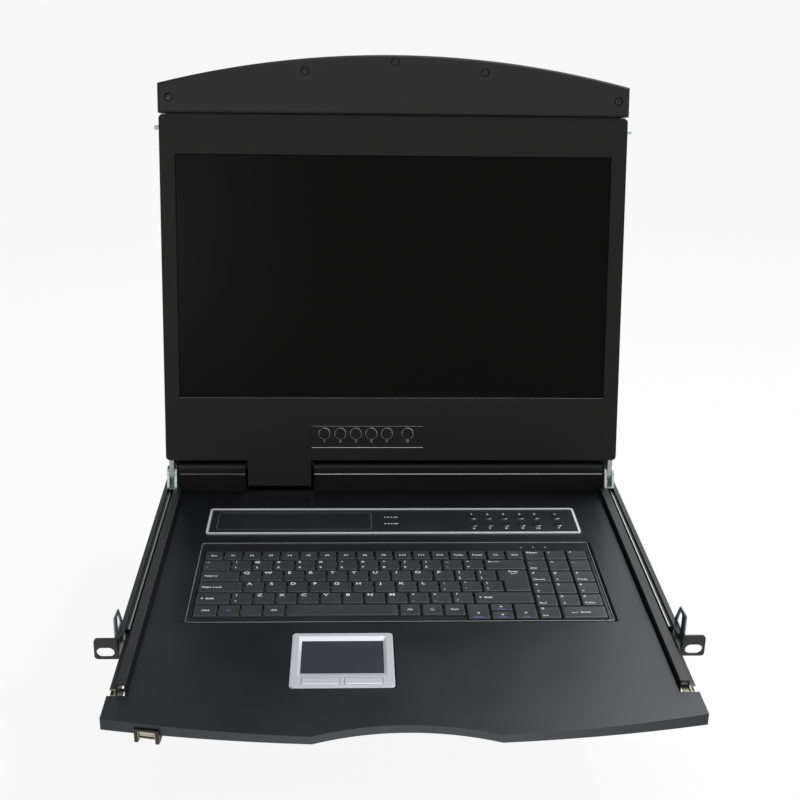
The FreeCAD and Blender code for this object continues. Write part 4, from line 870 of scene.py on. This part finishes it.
def list_mark(size, thickness):
    """Small sheet with lines, the sign of the list key."""
    edge = size * 0.09
    shapes = [band(rectangle(-size * 0.6, size * 0.6, -size * 0.7, size * 0.7),
                   rectangle(-size * 0.6 - edge, size * 0.6 + edge, -size * 0.7 - edge,
                             size * 0.7 + edge), 0, thickness)]
    for row in (-0.35, 0.0, 0.35):
        y = size * row
        shapes.append(bar_mark(-size * 0.4, size * 0.4, y - edge / 2, y + edge / 2, thickness))
    return merged(shapes)


class KeyTop:
    """A key's outline and heights, read from its solid in the frame."""

    def __init__(self, points):
        low = points[:, 2].min()
        high = points[:, 2].max()
        foot = points[points[:, 2] < low + 1e-5]
        crown = points[points[:, 2] > high - 1e-5]
        xs = np.unique(np.round(foot[:, 0], 5))
        ys = np.unique(np.round(foot[:, 1], 5))
        if len(xs) < 3:
            self.corners = rectangle(xs[0], xs[-1], ys[0], ys[-1])
        else:
            self.corners = np.array([
                [xs[1], ys[0]], [xs[-1], ys[0]], [xs[-1], ys[-1]],
                [xs[0], ys[-1]], [xs[0], ys[1]], [xs[1], ys[1]],
            ])
        self.inset = crown[:, 0].min() - foot[:, 0].min()
        self.foot = low
        self.top = high
        self.left = crown[:, 0].min()
        self.right = crown[:, 0].max()
        self.front = crown[:, 1].min()
        self.rear = crown[:, 1].max()

    @property
    def centre(self):
        return (self.left + self.right) / 2, (self.front + self.rear) / 2

    def hollow(self, x, y, dish):
        """Depth of the dished top: the dish times (1 - u squared) times (1 - w squared)."""
        cx, cy = self.centre
        u = np.clip((x - cx) / ((self.right - self.left) / 2), -1, 1)
        w = np.clip((y - cy) / ((self.rear - self.front) / 2), -1, 1)
        return dish * (1 - u ** 2) * (1 - w ** 2)

    def cap(self, sizes):
        """Moulded cap: sloped sides, a quarter-round edge and a dished top."""
        turn = np.linspace(0, np.pi / 2, 4)
        slope = self.inset - sizes.edge
        levels = [(0.0, self.foot)] + [
            (slope + sizes.edge * (1 - math.cos(a)), self.top - sizes.edge * (1 - math.sin(a)))
            for a in turn
        ]
        rings = []
        for inset, z in levels:
            outline = rounded_outline(moved_corners(self.corners, inset), sizes.corner)
            rings.append(np.concatenate([outline, np.full((len(outline), 1), z)], 1))
        cx, cy = self.centre
        edge = rings[-1]
        for share in (0.86, 0.62, 0.34):
            x = cx + (edge[:, 0] - cx) * share
            y = cy + (edge[:, 1] - cy) * share
            rings.append(np.stack([x, y, self.top - self.hollow(x, y, sizes.dish)], -1))
        ends = np.array([[cx, cy, self.foot], [cx, cy, self.top - sizes.dish]])
        return np.concatenate(rings + [ends]), stack_faces(len(rings), len(edge))

    def printed(self, shape, x, y, dish):
        """A mark moved to a place on this key and laid on its dished top."""
        points, faces = shifted(shape, x, y)
        points[:, 2] += self.top - self.hollow(points[:, 0], points[:, 1], dish)
        return points, faces


def keys_from_left(node):
    """Keys of a node, in order from the left, and from the front where they share a column."""
    keys = [KeyTop(points) for points in solids_of(node)]
    return sorted(keys, key=lambda key: (round(key.left, 3), key.front))


class KeyPrinter:
    """Prints marks on keys at the places where such a keyboard has them."""

    def __init__(self, sizes):
        self.sizes = sizes
        self.shapes = []

    def put(self, key, shape, x, y):
        self.shapes.append(key.printed(shape, x, y, self.sizes.dish))

    def text(self, key, text, height, x, y, centred=False):
        shape = letters(text, height, self.sizes.ink)
        left = x - shape_width(shape) / 2 if centred else x
        self.put(key, shape, left, y)

    def word(self, key, text):
        """Word at the middle of a small key, or at the left of a wide one."""
        sizes = self.sizes
        cx, cy = key.centre
        wide = key.right - key.left > NARROW_KEY
        x = key.left + LEGEND_MARGIN if wide else cx
        self.text(key, text, sizes.word, x, cy - sizes.word / 2, centred=not wide)

    def letter(self, key, text):
        sizes = self.sizes
        self.text(key, text, sizes.letter, key.left + 3.9 * MM,
                  key.rear - 0.9 * MM - sizes.letter, centred=True)

    def pair(self, key, upper, lower):
        sizes = self.sizes
        x = key.left + 3.0 * MM
        self.text(key, upper, sizes.digit, x, key.rear - 1.2 * MM - sizes.digit, centred=True)
        self.text(key, lower, sizes.digit, x, key.front + 2.4 * MM, centred=True)

    def corner(self, key, text):
        """Digit of the number pad, at the rear left corner."""
        sizes = self.sizes
        self.text(key, text, sizes.digit, key.left + LEGEND_MARGIN,
                  key.rear - 1.3 * MM - sizes.digit)

    def sign(self, key, name):
        """Drawn sign of a named key, with its word beside it on the wide keys."""
        sizes = self.sizes
        ink_height = sizes.ink
        cx, cy = key.centre
        if name == "tab":
            self.text(key, "Tab", sizes.word, key.left + LEGEND_MARGIN, cy - sizes.word / 2)
            self.put(key, tab_mark(2.2 * MM, ink_height), key.left + 10.5 * MM, cy)
        elif name == "back":
            self.put(key, bar_mark(0, 9 * MM, -0.25 * MM, 0.25 * MM, ink_height),
                     key.left + 4 * MM, key.rear - 3.4 * MM)
            self.put(key, arrow_mark("left", 2.4 * MM, ink_height), key.left + 3.6 * MM,
                     key.rear - 3.4 * MM)
        elif name == "shift":
            self.put(key, shift_arrow(1.7 * MM, ink_height), key.left + 4 * MM, cy)
            self.text(key, "Shift", sizes.word, key.left + 7 * MM, cy - sizes.word / 2)
        elif name == "enter":
            self.text(key, "Enter", sizes.word, cx - 3 * MM, key.rear - 3.2 * MM)
            self.put(key, hooked_arrow(2.4 * MM, ink_height), cx + 1.5 * MM, key.rear - 5.6 * MM)
        elif name == "list":
            self.put(key, list_mark(2.2 * MM, ink_height), cx, cy)

    def legend(self, key, mark):
        """Print whatever a legend says."""
        if mark in ("tab", "back", "shift", "enter", "list"):
            self.sign(key, mark)
        elif isinstance(mark, tuple):
            self.pair(key, *mark)
        elif len(mark) == 1:
            self.letter(key, mark)
        elif mark:
            self.word(key, mark)


def print_row(printer, node, legends):
    for key, mark in zip(keys_from_left(node), legends):
        if mark != "fn":
            printer.legend(key, mark)


def print_second_word(printer, node):
    """Word of the second-function key."""
    printer.word(keys_from_left(node)[BOTTOM_LEGENDS.index("fn")], "Fn")


def print_arrow_words(printer, node):
    sizes = printer.sizes
    for key, word in zip(keys_from_left(node), ARROW_WORDS):
        printer.text(key, word, sizes.word * 0.85, key.centre[0], key.front + 0.8 * MM,
                     centred=True)


def print_arrows(printer, node):
    for key, direction in zip(keys_from_left(node), ARROW_LEGENDS):
        cx, cy = key.centre
        tall = key.rear - key.front > 12 * MM
        y = cy - 3 * MM if tall else cy + 0.6 * MM
        printer.put(key, arrow_mark(direction, 2.6 * MM, printer.sizes.ink), cx, y)


def pad_rows(node):
    """Keys of the number pad in rows from the front, each from the left."""
    keys = keys_from_left(node)
    fronts = sorted({round(key.front, 3) for key in keys})
    return [[key for key in keys if abs(key.front - front) < MM] for front in fronts]


def print_pad(printer, node):
    sizes = printer.sizes
    for keys, legends in zip(pad_rows(node), PAD_LEGENDS):
        for key, mark in zip(keys, legends):
            cx, cy = key.centre
            if mark == "enter":
                printer.put(key, hooked_arrow(2.2 * MM, sizes.ink), cx - 8 * MM, cy - 1 * MM)
                printer.text(key, "Enter", sizes.word, cx - 3 * MM, cy - sizes.word / 2)
            elif isinstance(mark, str):
                printer.corner(key, mark)
            else:
                digit, below = mark
                printer.corner(key, digit)
                y = key.front + 2.2 * MM
                if below in ("left", "right", "up", "down"):
                    printer.put(key, arrow_mark(below, 2.2 * MM, sizes.ink),
                                key.left + 3.4 * MM, y + 1 * MM)
                elif below:
                    printer.text(key, below, sizes.word, key.left + LEGEND_MARGIN, y)


def lcd_axes():
    """Directions of the screen's own frame: right, up along its face, and out of its front."""
    joint = next(j for j in frame["joints"] if j["child"] == "lcd_button_1")
    back = np.array(joint["axis"], dtype=float)
    out = -back / np.linalg.norm(back)
    return AXIS_X, np.cross(out, AXIS_X), out


def laid_on_lcd(shape, across, up, out):
    """Shape drawn flat with its height along Z, laid on the screen's face at a place there."""
    points, faces = shape
    points = points + np.array([across, up, out])
    return points @ np.array(lcd_axes()), faces


def box_on_lcd(node):
    """Lowest and highest reach of a node across, up and out of the screen's face."""
    return [extent_along(node_points(node), direction) for direction in lcd_axes()]


def window_on_lcd():
    """Edges of the screen's window, from the bezel's own corner points inside the display."""
    points = node_points("lcd_bezel")
    right, up, out = lcd_axes()
    across, high = points @ right, points @ up
    (x0, x1), (y0, y1), _ = box_on_lcd("display_panel")
    inside = (across > x0) & (across < x1) & (high > y0) & (high < y1)
    inside &= points @ out > (points @ out).max() - 2 * MM
    return across[inside].min(), across[inside].max(), high[inside].min(), high[inside].max()


def rounded_shoulder(low, high, radius, edge, drop, steps=7):
    """Profile of a round button: a straight side, an elliptic shoulder and a crown.

    The shoulder follows radius - drop * (1 - cos a) and high - edge * (1 - sin a)."""
    turn = np.linspace(0, np.pi / 2, steps)
    shoulder = [(high - edge * (1 - math.sin(a)), radius - drop * (1 - math.cos(a))) for a in turn]
    crown = radius - drop
    hollow = [(high - edge * 0.06, crown * 0.7), (high - edge * 0.1, crown * 0.3)]
    return [(low, radius)] + shoulder + hollow


class CONSOLE_OT_finishes(bpy.types.Operator):
    """Mix the finishes and give each node of the drawer its own"""
    bl_idname = "console.finishes"
    bl_label = "Finishes"

    def execute(self, context):
        make_finishes(context.scene.console_colours)
        slots = {part["node"]: part["material_slot"] for part in frame["record"]["subparts"]}
        for name, node in frame["nodes"].items():
            node.data.materials.clear()
            node.data.materials.append(finish_named(OWN_FINISH.get(name, slots[name])))
        return {"FINISHED"}


class CONSOLE_OT_keys(bpy.types.Operator):
    """Mould the caps of all the keys"""
    bl_idname = "console.keys"
    bl_label = "Key Caps"

    def execute(self, context):
        sizes = context.scene.console_keys
        for node, body in KEY_NODES.items():
            caps = merged([key.cap(sizes) for key in keys_from_left(node)])
            add_piece(node + "_caps", caps, "key_plastic", body, [node])
        return {"FINISHED"}


class CONSOLE_OT_legends(bpy.types.Operator):
    """Print the legends on the keys"""
    bl_idname = "console.legends"
    bl_label = "Key Legends"

    def execute(self, context):
        sizes = context.scene.console_keys
        for node, legends in ROW_LEGENDS.items():
            self.put(sizes, node, "white_ink", print_row, legends)
        self.put(sizes, "arrow_keys", "white_ink", print_arrows)
        self.put(sizes, "numpad_keys", "white_ink", print_pad)
        self.put(sizes, "bottom_keys", "blue_ink", print_second_word)
        self.put(sizes, "arrow_keys", "blue_ink", print_arrow_words)
        return {"FINISHED"}

    def put(self, sizes, node, finish, draw, *legends):
        """One piece of all the marks that a function draws on a node's keys."""
        printer = KeyPrinter(sizes)
        draw(printer, node, *legends)
        add_piece(node + "_" + finish, merged(printer.shapes), finish, KEY_NODES[node])


class CONSOLE_OT_ports(bpy.types.Operator):
    """Mould the port buttons, and print the panel around them"""
    bl_idname = "console.ports"
    bl_label = "Port Panel"

    def execute(self, context):
        sizes = context.scene.console_trim
        ink_height = context.scene.console_keys.ink
        domes = []
        places = []
        for centre, radius, low, high in round_solids("port_buttons", AXIS_X, AXIS_Y):
            profile = rounded_shoulder(low, high, radius, sizes.dome_edge, sizes.dome_edge * 2.6)
            domes.append(spun(profile, centre))
            places.append((round(centre[1], 4), round(centre[0], 4), radius))
        add_piece("port_domes", merged(domes), "dome_plastic", "port_keys",
                  ["port_buttons"])
        self.print_panel(sizes, ink_height, places)
        return {"FINISHED"}

    def print_panel(self, sizes, ink_height, places):
        """Numbers behind the rear row and before the front one, arrows, and the window's line."""
        marks = []
        rear_row = max(place[0] for place in places)
        last = max(place[1] for place in places)
        number = 0
        for y, x, radius in sorted(places, key=lambda place: (-place[0], place[1])):
            side = 1 if y == rear_row else -1
            edge = y + side * (radius + 1.2 * MM)
            if x == last:
                mark = arrow_mark("up" if side > 0 else "down", sizes.mark * 0.8, ink_height)
                marks.append(shifted(mark, x, edge + side * 0.9 * MM))
                continue
            number += 1
            mark = letters(str(number), sizes.mark, ink_height)
            marks.append(shifted(mark, x - shape_width(mark) / 2,
                                 edge if side > 0 else edge - sizes.mark))
        for (x, y), way in zip(PANEL_LINES, ("right", "left")):
            heads = [bar_mark(0, 1.7 * MM, -0.8 * MM, 0.8 * MM, ink_height)] * 4
            heads.append(arrow_mark(way, sizes.mark * 0.8, ink_height))
            marks += [shifted(head, (x + 3.0 * index) * MM, y * MM)
                      for index, head in enumerate(heads)]
        corners = rectangle(*(value * MM for value in PANEL_WINDOW))
        line = band(rounded_outline(corners, 3 * MM),
                    rounded_outline(moved_corners(corners, -sizes.line), 3 * MM + sizes.line),
                    0, ink_height)
        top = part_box("control_overlay")[1].z
        for name, (points, faces), finish in (("panel_print", merged(marks), "white_ink"),
                                              ("panel_outline", line, "grey_ink")):
            points[:, 2] += top
            add_piece(name, (points, faces), finish, "drawer")


class CONSOLE_OT_screen(bpy.types.Operator):
    """Make the screen's buttons with their collars and marks, its seal and the handle's screws"""
    bl_idname = "console.screen"
    bl_label = "Screen Trim"

    def execute(self, context):
        sizes = context.scene.console_trim
        ink_height = context.scene.console_keys.ink
        plate = box_on_lcd("osd_plate")
        collars = []
        marks = []
        for number, node in enumerate(LCD_BUTTONS, start=1):
            across, high, out = box_on_lcd(node)
            x, y = middle(across), middle(high)
            radius = (across[1] - across[0]) / 2
            profile = rounded_shoulder(out[0], out[1], radius, 0.5 * MM, 0.7 * MM)
            cap = laid_on_lcd(spun(profile, ORIGIN), x, y, 0)
            add_piece("osd_cap_%d" % number, cap, "plate_gloss", "lcd_button_%d" % number,
                      [node])
            width = sizes.collar
            inner = radius + 0.05 * MM
            section = [(0.0, inner + width), (COLLAR_RISE * 0.7, inner + width * 0.8),
                       (COLLAR_RISE, inner + width * 0.4), (COLLAR_RISE * 0.6, inner), (0.0, inner)]
            collars.append(laid_on_lcd(spun_ring(section), x, y, plate[2][1]))
            marks.append(laid_on_lcd(self.button_mark(number, sizes, ink_height), x,
                                     y - radius - 3.4 * MM, plate[2][1]))
        add_piece("osd_collars", merged(collars), "collar_and_highlight_metal", "lcd")
        add_piece("osd_print", merged(marks), "label_ink", "lcd")
        self.edge_line(sizes, plate)
        self.seal(sizes)
        self.screws()
        return {"FINISHED"}

    def button_mark(self, number, sizes, ink_height):
        """Small number, or for the last button a ring with a bar."""
        if number < len(LCD_BUTTONS):
            mark = letters(str(number), sizes.mark * 0.85, ink_height)
            return shifted(mark, -shape_width(mark) / 2, 0)
        radius = sizes.mark * 0.4
        return merged([ring_mark((0.0, radius), radius, sizes.mark * 0.16, ink_height),
                       bar_mark(-sizes.mark * 0.08, sizes.mark * 0.08, radius, radius * 2.6,
                                ink_height)])

    def edge_line(self, sizes, plate):
        """Painted highlight beads along the foot and head of the button plate: bright foot, dim head."""
        across, high, out = plate
        ends = across[0] + 1.2 * MM, across[1] - 1.2 * MM
        for name, level, finish in (("osd_foot_edge", high[0] + sizes.line * 0.6, "collar_and_highlight_metal"),
                                    ("osd_head_edge", high[1] - sizes.line * 0.6, "dim_highlight_metal")):
            bead = half_round(ends, level, sizes.line, 0.3 * MM)
            add_piece(name, laid_on_lcd(bead, 0, 0, out[1]), finish, "lcd")

    def seal(self, sizes):
        """Sloped near-black seal inside the window, between the front sheet and the screen: painted shadow in the
        gap.
        """
        _, _, panel_out = box_on_lcd("display_panel")
        window = window_on_lcd()
        outer = rounded_outline(rectangle(*window), 0.4 * MM)
        inner = rounded_outline(moved_corners(rectangle(*window), sizes.gasket), 0.4 * MM)
        shape = band(inner, outer, 0.0, SEAL_RISE, 0.2 * MM)
        add_piece("screen_seal", laid_on_lcd(shape, 0, 0, panel_out[1]), "seal_shadow_black", "lcd")
        # Bead of painted highlight along the window's foot, where light from above catches the lip.
        lip = half_round(window[:2], window[2] + 0.2 * MM, 0.5 * MM, 0.3 * MM)
        add_piece("screen_lip", laid_on_lcd(lip, 0, 0, panel_out[1] + SEAL_RISE), "highlight_grey_plastic",
                  "lcd")

    def screws(self):
        """Domed heads with six-sided sockets, in place of the plain ones."""
        right, up, _ = lcd_axes()
        heads = []
        for centre, radius, low, high in round_solids("lcd_screws", right, up):
            profile = rounded_shoulder(low, high, radius, 0.5 * MM, 0.6 * MM, 6)[:-2]
            socket = [(high, 1.6 * MM), (high - 0.15 * MM, 1.45 * MM),
                      (high - 1.0 * MM, 1.4 * MM)]
            heads.append(socket_head(profile, socket, centre, right, up))
        add_piece("handle_screw_heads", merged(heads), "screw_steel", "lcd",
                  ["lcd_screws"])


class CONSOLE_OT_sockets(bpy.types.Operator):
    """Make the tongue of the USB socket, the rear sockets' pins and posts, and the status lamps"""
    bl_idname = "console.sockets"
    bl_label = "Sockets and Lamps"

    def execute(self, context):
        sizes = context.scene.console_trim
        self.tongue()
        self.lamps(sizes)
        self.rear_sockets(sizes)
        return {"FINISHED"}

    def tongue(self):
        """Pale plate with four contacts, square to the curved apron."""
        mount = next(m for m in frame["record"]["mounts"] if m["name"] == "front_usb_socket")
        out = np.array(mount["axis"], dtype=float)
        right = np.cross(out, AXIS_Z)
        points = node_points("usb_port")
        across = extent_along(points, right)
        mouth = extent_along(points, out)[1]
        ceiling = points[:, 2].max()
        half = (across[1] - across[0]) / 2 - 1.05 * MM
        outline = rounded_outline(rectangle(-half, half, -12.9 * MM, -1.05 * MM), 0.3 * MM)
        plate = flat_mark(outline, 1.9 * MM)
        contacts = [bar_mark(x - 0.5 * MM, x + 0.5 * MM, -11 * MM, -1.6 * MM, 0.12 * MM)
                    for x in np.linspace(-3.5 * MM, 3.5 * MM, 4)]
        axes = np.array([right, out, AXIS_Z])
        home = middle(across) * right + mouth * out
        for name, shape, drop, finish in (
                ("usb_tongue", plate, 4.4 * MM, "tongue_plastic"),
                ("usb_contacts", merged(contacts), 2.48 * MM, "connector_metal")):
            local, faces = shape
            placed = local @ axes + home + (ceiling - drop) * AXIS_Z
            add_piece(name, (placed, faces), finish, "drawer")

    def lamps(self, sizes):
        """Three status lamps behind the number pad."""
        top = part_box("keyboard_frame")[1].z - 0.5 * MM
        lenses = []
        for x, y in LAMP_PLACES:
            profile = [(0.0, sizes.lamp), (0.1 * MM, sizes.lamp), (0.3 * MM, sizes.lamp * 0.85),
                       (0.42 * MM, sizes.lamp * 0.5), (0.45 * MM, sizes.lamp * 0.2)]
            lenses.append(spun(profile, np.array([x * MM, y * MM, top]), steps=20))
        add_piece("status_lamps", merged(lenses), "lamp_lens", "drawer")

    def rear_sockets(self, sizes):
        """Rows of pin holes in each socket's face and a hexagonal post at each of its sides."""
        points = node_points("switch_board")
        face = points[:, 1].max()
        rim = points[points[:, 1] > face - 0.1 * MM]
        sockets = np.unique(np.round(rim[:, 0], 5)).reshape(-1, 4).mean(axis=1)
        middle_z = middle(extent_along(rim, AXIS_Z))
        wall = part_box("rear_module")[1].y
        pin = [(face - 0.2 * MM, sizes.pin), (face + 0.03 * MM, sizes.pin * 0.9)]
        post = [(wall - 0.5 * MM, 2.4 * MM), (wall + 3.5 * MM, 2.4 * MM),
                (wall + 4.2 * MM, 2.0 * MM)]
        thread = [(wall + 4.2 * MM, 1.0 * MM), (wall + 2.0 * MM, 0.9 * MM)]
        holes = []
        posts = []
        for x in sockets:
            for row, count in SOCKET_ROWS:
                for k in range(count):
                    offset = (k - (count - 1) / 2) * SOCKET_PITCH
                    place = np.array([x + offset * MM, 0.0, middle_z + row * MM])
                    holes.append(spun(pin, place, AXIS_Z, AXIS_X, steps=10))
            for side in (-1, 1):
                place = np.array([x + side * POST_OFFSET * MM, 0.0, middle_z])
                posts.append(socket_head(post, thread, place, AXIS_Z, AXIS_X, steps=24))
        add_piece("socket_holes", merged(holes), "connector_plastic", "drawer")
        add_piece("socket_posts", merged(posts), "zinc", "drawer")


class CONSOLE_OT_edges(bpy.types.Operator):
    """Lay beads of painted highlight and strips of painted shadow round the keyboard, touchpad and rear shelf"""
    bl_idname = "console.edges"
    bl_label = "Edges and Gaps"

    def execute(self, context):
        sizes = context.scene.console_trim
        low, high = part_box("keyboard_frame")
        corners = rectangle(low.x, high.x, low.y, high.y)
        # Bead of painted highlight round the keyboard frame's rim, far lighter than the frame.
        points, faces = bead_ring(corners, 2.6 * MM, 1.1 * MM, 0.4 * MM)
        points[:, 2] += high.z
        add_piece("keyboard_bead", (points, faces), "highlight_grey_plastic", "drawer")
        # Painted shadow: black strips on the deck round the keyboard frame and the touchpad bezel.
        self.gap("keyboard_gap", (low, high), (0.7, 2.9, 0.7, 0.3), 2.6, DECK_TOP)
        self.gap("touchpad_gap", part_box("touchpad_bezel"), (0.7, 1.1, 0.9, 0.4), 4.0, PALM_TOP)
        self.shelf(sizes)
        self.channels(sizes)
        self.click_edges()
        return {"FINISHED"}

    def shelf(self, sizes):
        """Painted highlight beads on the shelf's front edge, by the cable opening: dim left, bright right."""
        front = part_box("rear_cover")[0].y
        for name, ends, finish in (("shelf_bead_left", SHELF_LEFT, "dim_highlight_metal"),
                                   ("shelf_bead_right", SHELF_RIGHT, "collar_and_highlight_metal")):
            ends = tuple(x * MM for x in ends)
            points, faces = half_round(ends, 0.0, sizes.line * 1.8, 0.35 * MM)
            points = points[:, [0, 2, 1]] * (1, -1, 1) + (0, front, (SHELF_TOP - 0.4) * MM)
            add_piece(name, (points, faces), finish, "drawer")

    def channels(self, sizes):
        """Painted highlight: a bead a little lighter than the coat on the inner side of each side channel's top.
        """
        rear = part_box("rear_cover")[0].y - 12 * MM
        for side in ("left", "right"):
            low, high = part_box(side + "_side_channel")
            inner = high.x - 0.4 * MM if side == "left" else low.x + 0.4 * MM
            points, faces = half_round((low.y + 1.5 * MM, rear), 0.0, sizes.line, 0.2 * MM)
            points = points[:, [1, 0, 2]] + (inner, 0, high.z)
            faces = [face[::-1] for face in faces]
            add_piece(side + "_channel_bead", (points, faces), "dim_highlight_plastic", "drawer")

    def click_edges(self):
        """Painted highlight along the front edges of the touchpad's two buttons, in a lighter silver."""
        for side in ("left", "right"):
            low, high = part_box(side + "_touch_button")
            points, faces = half_round((low.x + 0.8 * MM, high.x - 0.8 * MM), 0.0, 1.5 * MM,
                                       0.35 * MM)
            points = points + (0, low.y + 0.95 * MM, high.z)
            add_piece(side + "_touch_button_edge", (points, faces), "highlight_silver",
                      side + "_click")

    def gap(self, name, box, widths, radius, level):
        """Black strip of painted shadow round a piece: widths on the left, right, front and rear, in millimetres.
        """
        low, high = box
        left, right, front, rear = (width * MM for width in widths)
        inner = rounded_outline(rectangle(low.x, high.x, low.y, high.y), radius * MM)
        outer = rounded_outline(rectangle(low.x - left, high.x + right, low.y - front,
                                          high.y + rear), radius * MM)
        strip = band(inner, outer, (level - 0.02) * MM, (level + 0.03) * MM)
        add_piece(name, strip, "painted_shadow_black", "drawer")


class CONSOLE_OT_stage(bpy.types.Operator):
    """Set up the camera, the floor and the lamps"""
    bl_idname = "console.stage"
    bl_label = "Stage"

    def execute(self, context):
        stage = context.scene.console_stage
        place_camera()
        lay_floor(stage)
        light_room(stage)
        context.scene.view_settings.view_transform = "Standard"
        return {"FINISHED"}


def place_camera():
    """Camera at the reference view's place, turned by its pitch, turn and roll."""
    down = math.cos(CAMERA_DOWN)
    forward = Vector((math.sin(CAMERA_TURN) * down, math.cos(CAMERA_TURN) * down,
                      -math.sin(CAMERA_DOWN)))
    level = Vector((math.cos(CAMERA_TURN), -math.sin(CAMERA_TURN), 0.0))
    above = level.cross(forward)
    right = math.cos(CAMERA_ROLL) * level + math.sin(CAMERA_ROLL) * above
    up = -math.sin(CAMERA_ROLL) * level + math.cos(CAMERA_ROLL) * above
    data = bpy.data.cameras.new("reference_view")
    data.sensor_width = SENSOR_WIDTH
    data.lens = SENSOR_WIDTH * FOCAL_PIXELS / PICTURE_SIDE
    camera = bpy.data.objects.new("reference_view", data)
    axes = Matrix((right, up, -forward)).transposed()
    camera.matrix_world = Matrix.Translation(CAMERA_PLACE) @ axes.to_4x4()
    bpy.context.scene.collection.objects.link(camera)
    bpy.context.scene.camera = camera


def lay_floor(stage):
    """Wide floor below the drawer that looks white to the camera and keeps a soft shadow."""
    z = cad_box[0].z - stage.floor_drop
    half = FLOOR_SIDE / 2
    corners = np.linspace(-half, half, FLOOR_CELLS + 1)
    x, y = np.meshgrid(corners, corners)
    points = np.stack([x.ravel(), y.ravel(), np.full(x.size, z)], -1)
    row = FLOOR_CELLS + 1
    i = (np.arange(FLOOR_CELLS)[:, None] * row + np.arange(FLOOR_CELLS)).ravel()
    faces = np.stack([i, i + 1, i + row + 1, i + row], -1).tolist()
    mesh = bpy.data.meshes.new("floor")
    mesh.from_pydata(points.tolist(), [], faces)
    mesh.materials.append(floor_paint(tuple(stage.floor_colour) + (1.0,)))
    floor = bpy.data.objects.new("floor", mesh)
    bpy.context.scene.collection.objects.link(floor)


def floor_paint(colour):
    """Pale paint. What the camera, gloss and glass see of it is mostly plain white."""
    mix = Recipe("floor_paint")
    patches = mix.noise(3.0, 2.0)
    paint = mix.node("ShaderNodeBsdfDiffuse", inputs={
        "Color": mix.tint(patches * 0.1, colour, shade_of(colour[:3], 0.97))})
    white = mix.node("ShaderNodeEmission", inputs={"Color": WHITE, "Strength": 1.0})
    both = mix.node("ShaderNodeMixShader", inputs={0: mix.seen() * FLOOR_WHITE, 1: paint, 2: white})
    mix.node("ShaderNodeOutputMaterial", inputs={"Surface": both})
    return mix.material


def light_room(stage):
    """Studio: white walls all round, a dark ceiling that glows on the right, and three lamps."""
    world = bpy.data.worlds.new("studio")
    bpy.context.scene.world = world
    world.use_nodes = True
    mix = Recipe("studio", world.node_tree, "Generated")
    glow = mix.spread(mix.along("X"), CEILING_DARK, CEILING_BRIGHT)
    ceiling = glow * (stage.ceiling_right - stage.ceiling_left) + stage.ceiling_left
    above = mix.spread(mix.along("Z"), WALL_TOP, CEILING_START)
    level = above * (ceiling - 1.0) + 1.0
    strength = (mix.seen() * (1 - stage.room_light) + stage.room_light) * level
    background = mix.node("ShaderNodeBackground", inputs={"Color": WHITE, "Strength": strength})
    mix.node("ShaderNodeOutputWorld", inputs={"Surface": background})
    centre = (cad_box[0] + cad_box[1]) / 2
    for name, power, size, place in (("key_lamp", stage.key_lamp, KEY_SIZE, KEY_LAMP),
                                     ("fill_lamp", stage.fill_lamp, FILL_SIZE, FILL_LAMP),
                                     ("top_lamp", stage.top_lamp, TOP_SIZE, TOP_LAMP)):
        data = bpy.data.lights.new(name, "AREA")
        data.energy = power
        data.size = size
        lamp = bpy.data.objects.new(name, data)
        lamp.location = place
        lamp.rotation_euler = (centre - place).to_track_quat("-Z", "Y").to_euler()
        bpy.context.scene.collection.objects.link(lamp)


class CONSOLE_PT_panel(bpy.types.Panel):
    """Lists the steps that dress the drawer"""
    bl_idname = "CONSOLE_PT_panel"
    bl_label = "Rack Console"
    bl_space_type = "VIEW_3D"
    bl_region_type = "UI"
    bl_category = "Rack Console"

    def draw(self, context):
        for step in STEPS:
            self.layout.operator(step.bl_idname)
        for group in (getattr(context.scene, name) for name in GROUPS):
            for name in group.bl_rna.properties.keys():
                if name not in ("rna_type", "name"):
                    self.layout.prop(group, name)


STEPS = [CONSOLE_OT_stage, CONSOLE_OT_finishes, CONSOLE_OT_keys, CONSOLE_OT_legends,
         CONSOLE_OT_ports, CONSOLE_OT_screen, CONSOLE_OT_sockets, CONSOLE_OT_edges]
GROUPS = {"console_keys": ConsoleKeys, "console_trim": ConsoleTrim,
          "console_colours": ConsoleColours, "console_stage": ConsoleStage}


def register():
    for name, group in GROUPS.items():
        bpy.utils.register_class(group)
        setattr(bpy.types.Scene, name, PointerProperty(type=group))
    for kind in STEPS + [CONSOLE_PT_panel]:
        bpy.utils.register_class(kind)


def unregister():
    for kind in [CONSOLE_PT_panel] + STEPS[::-1]:
        bpy.utils.unregister_class(kind)
    for name, group in GROUPS.items():
        delattr(bpy.types.Scene, name)
        bpy.utils.unregister_class(group)


def main():
    register()
    for step in STEPS:
        family, name = step.bl_idname.split(".")
        getattr(getattr(bpy.ops, family), name)()


if __name__ == "__main__":
    main()
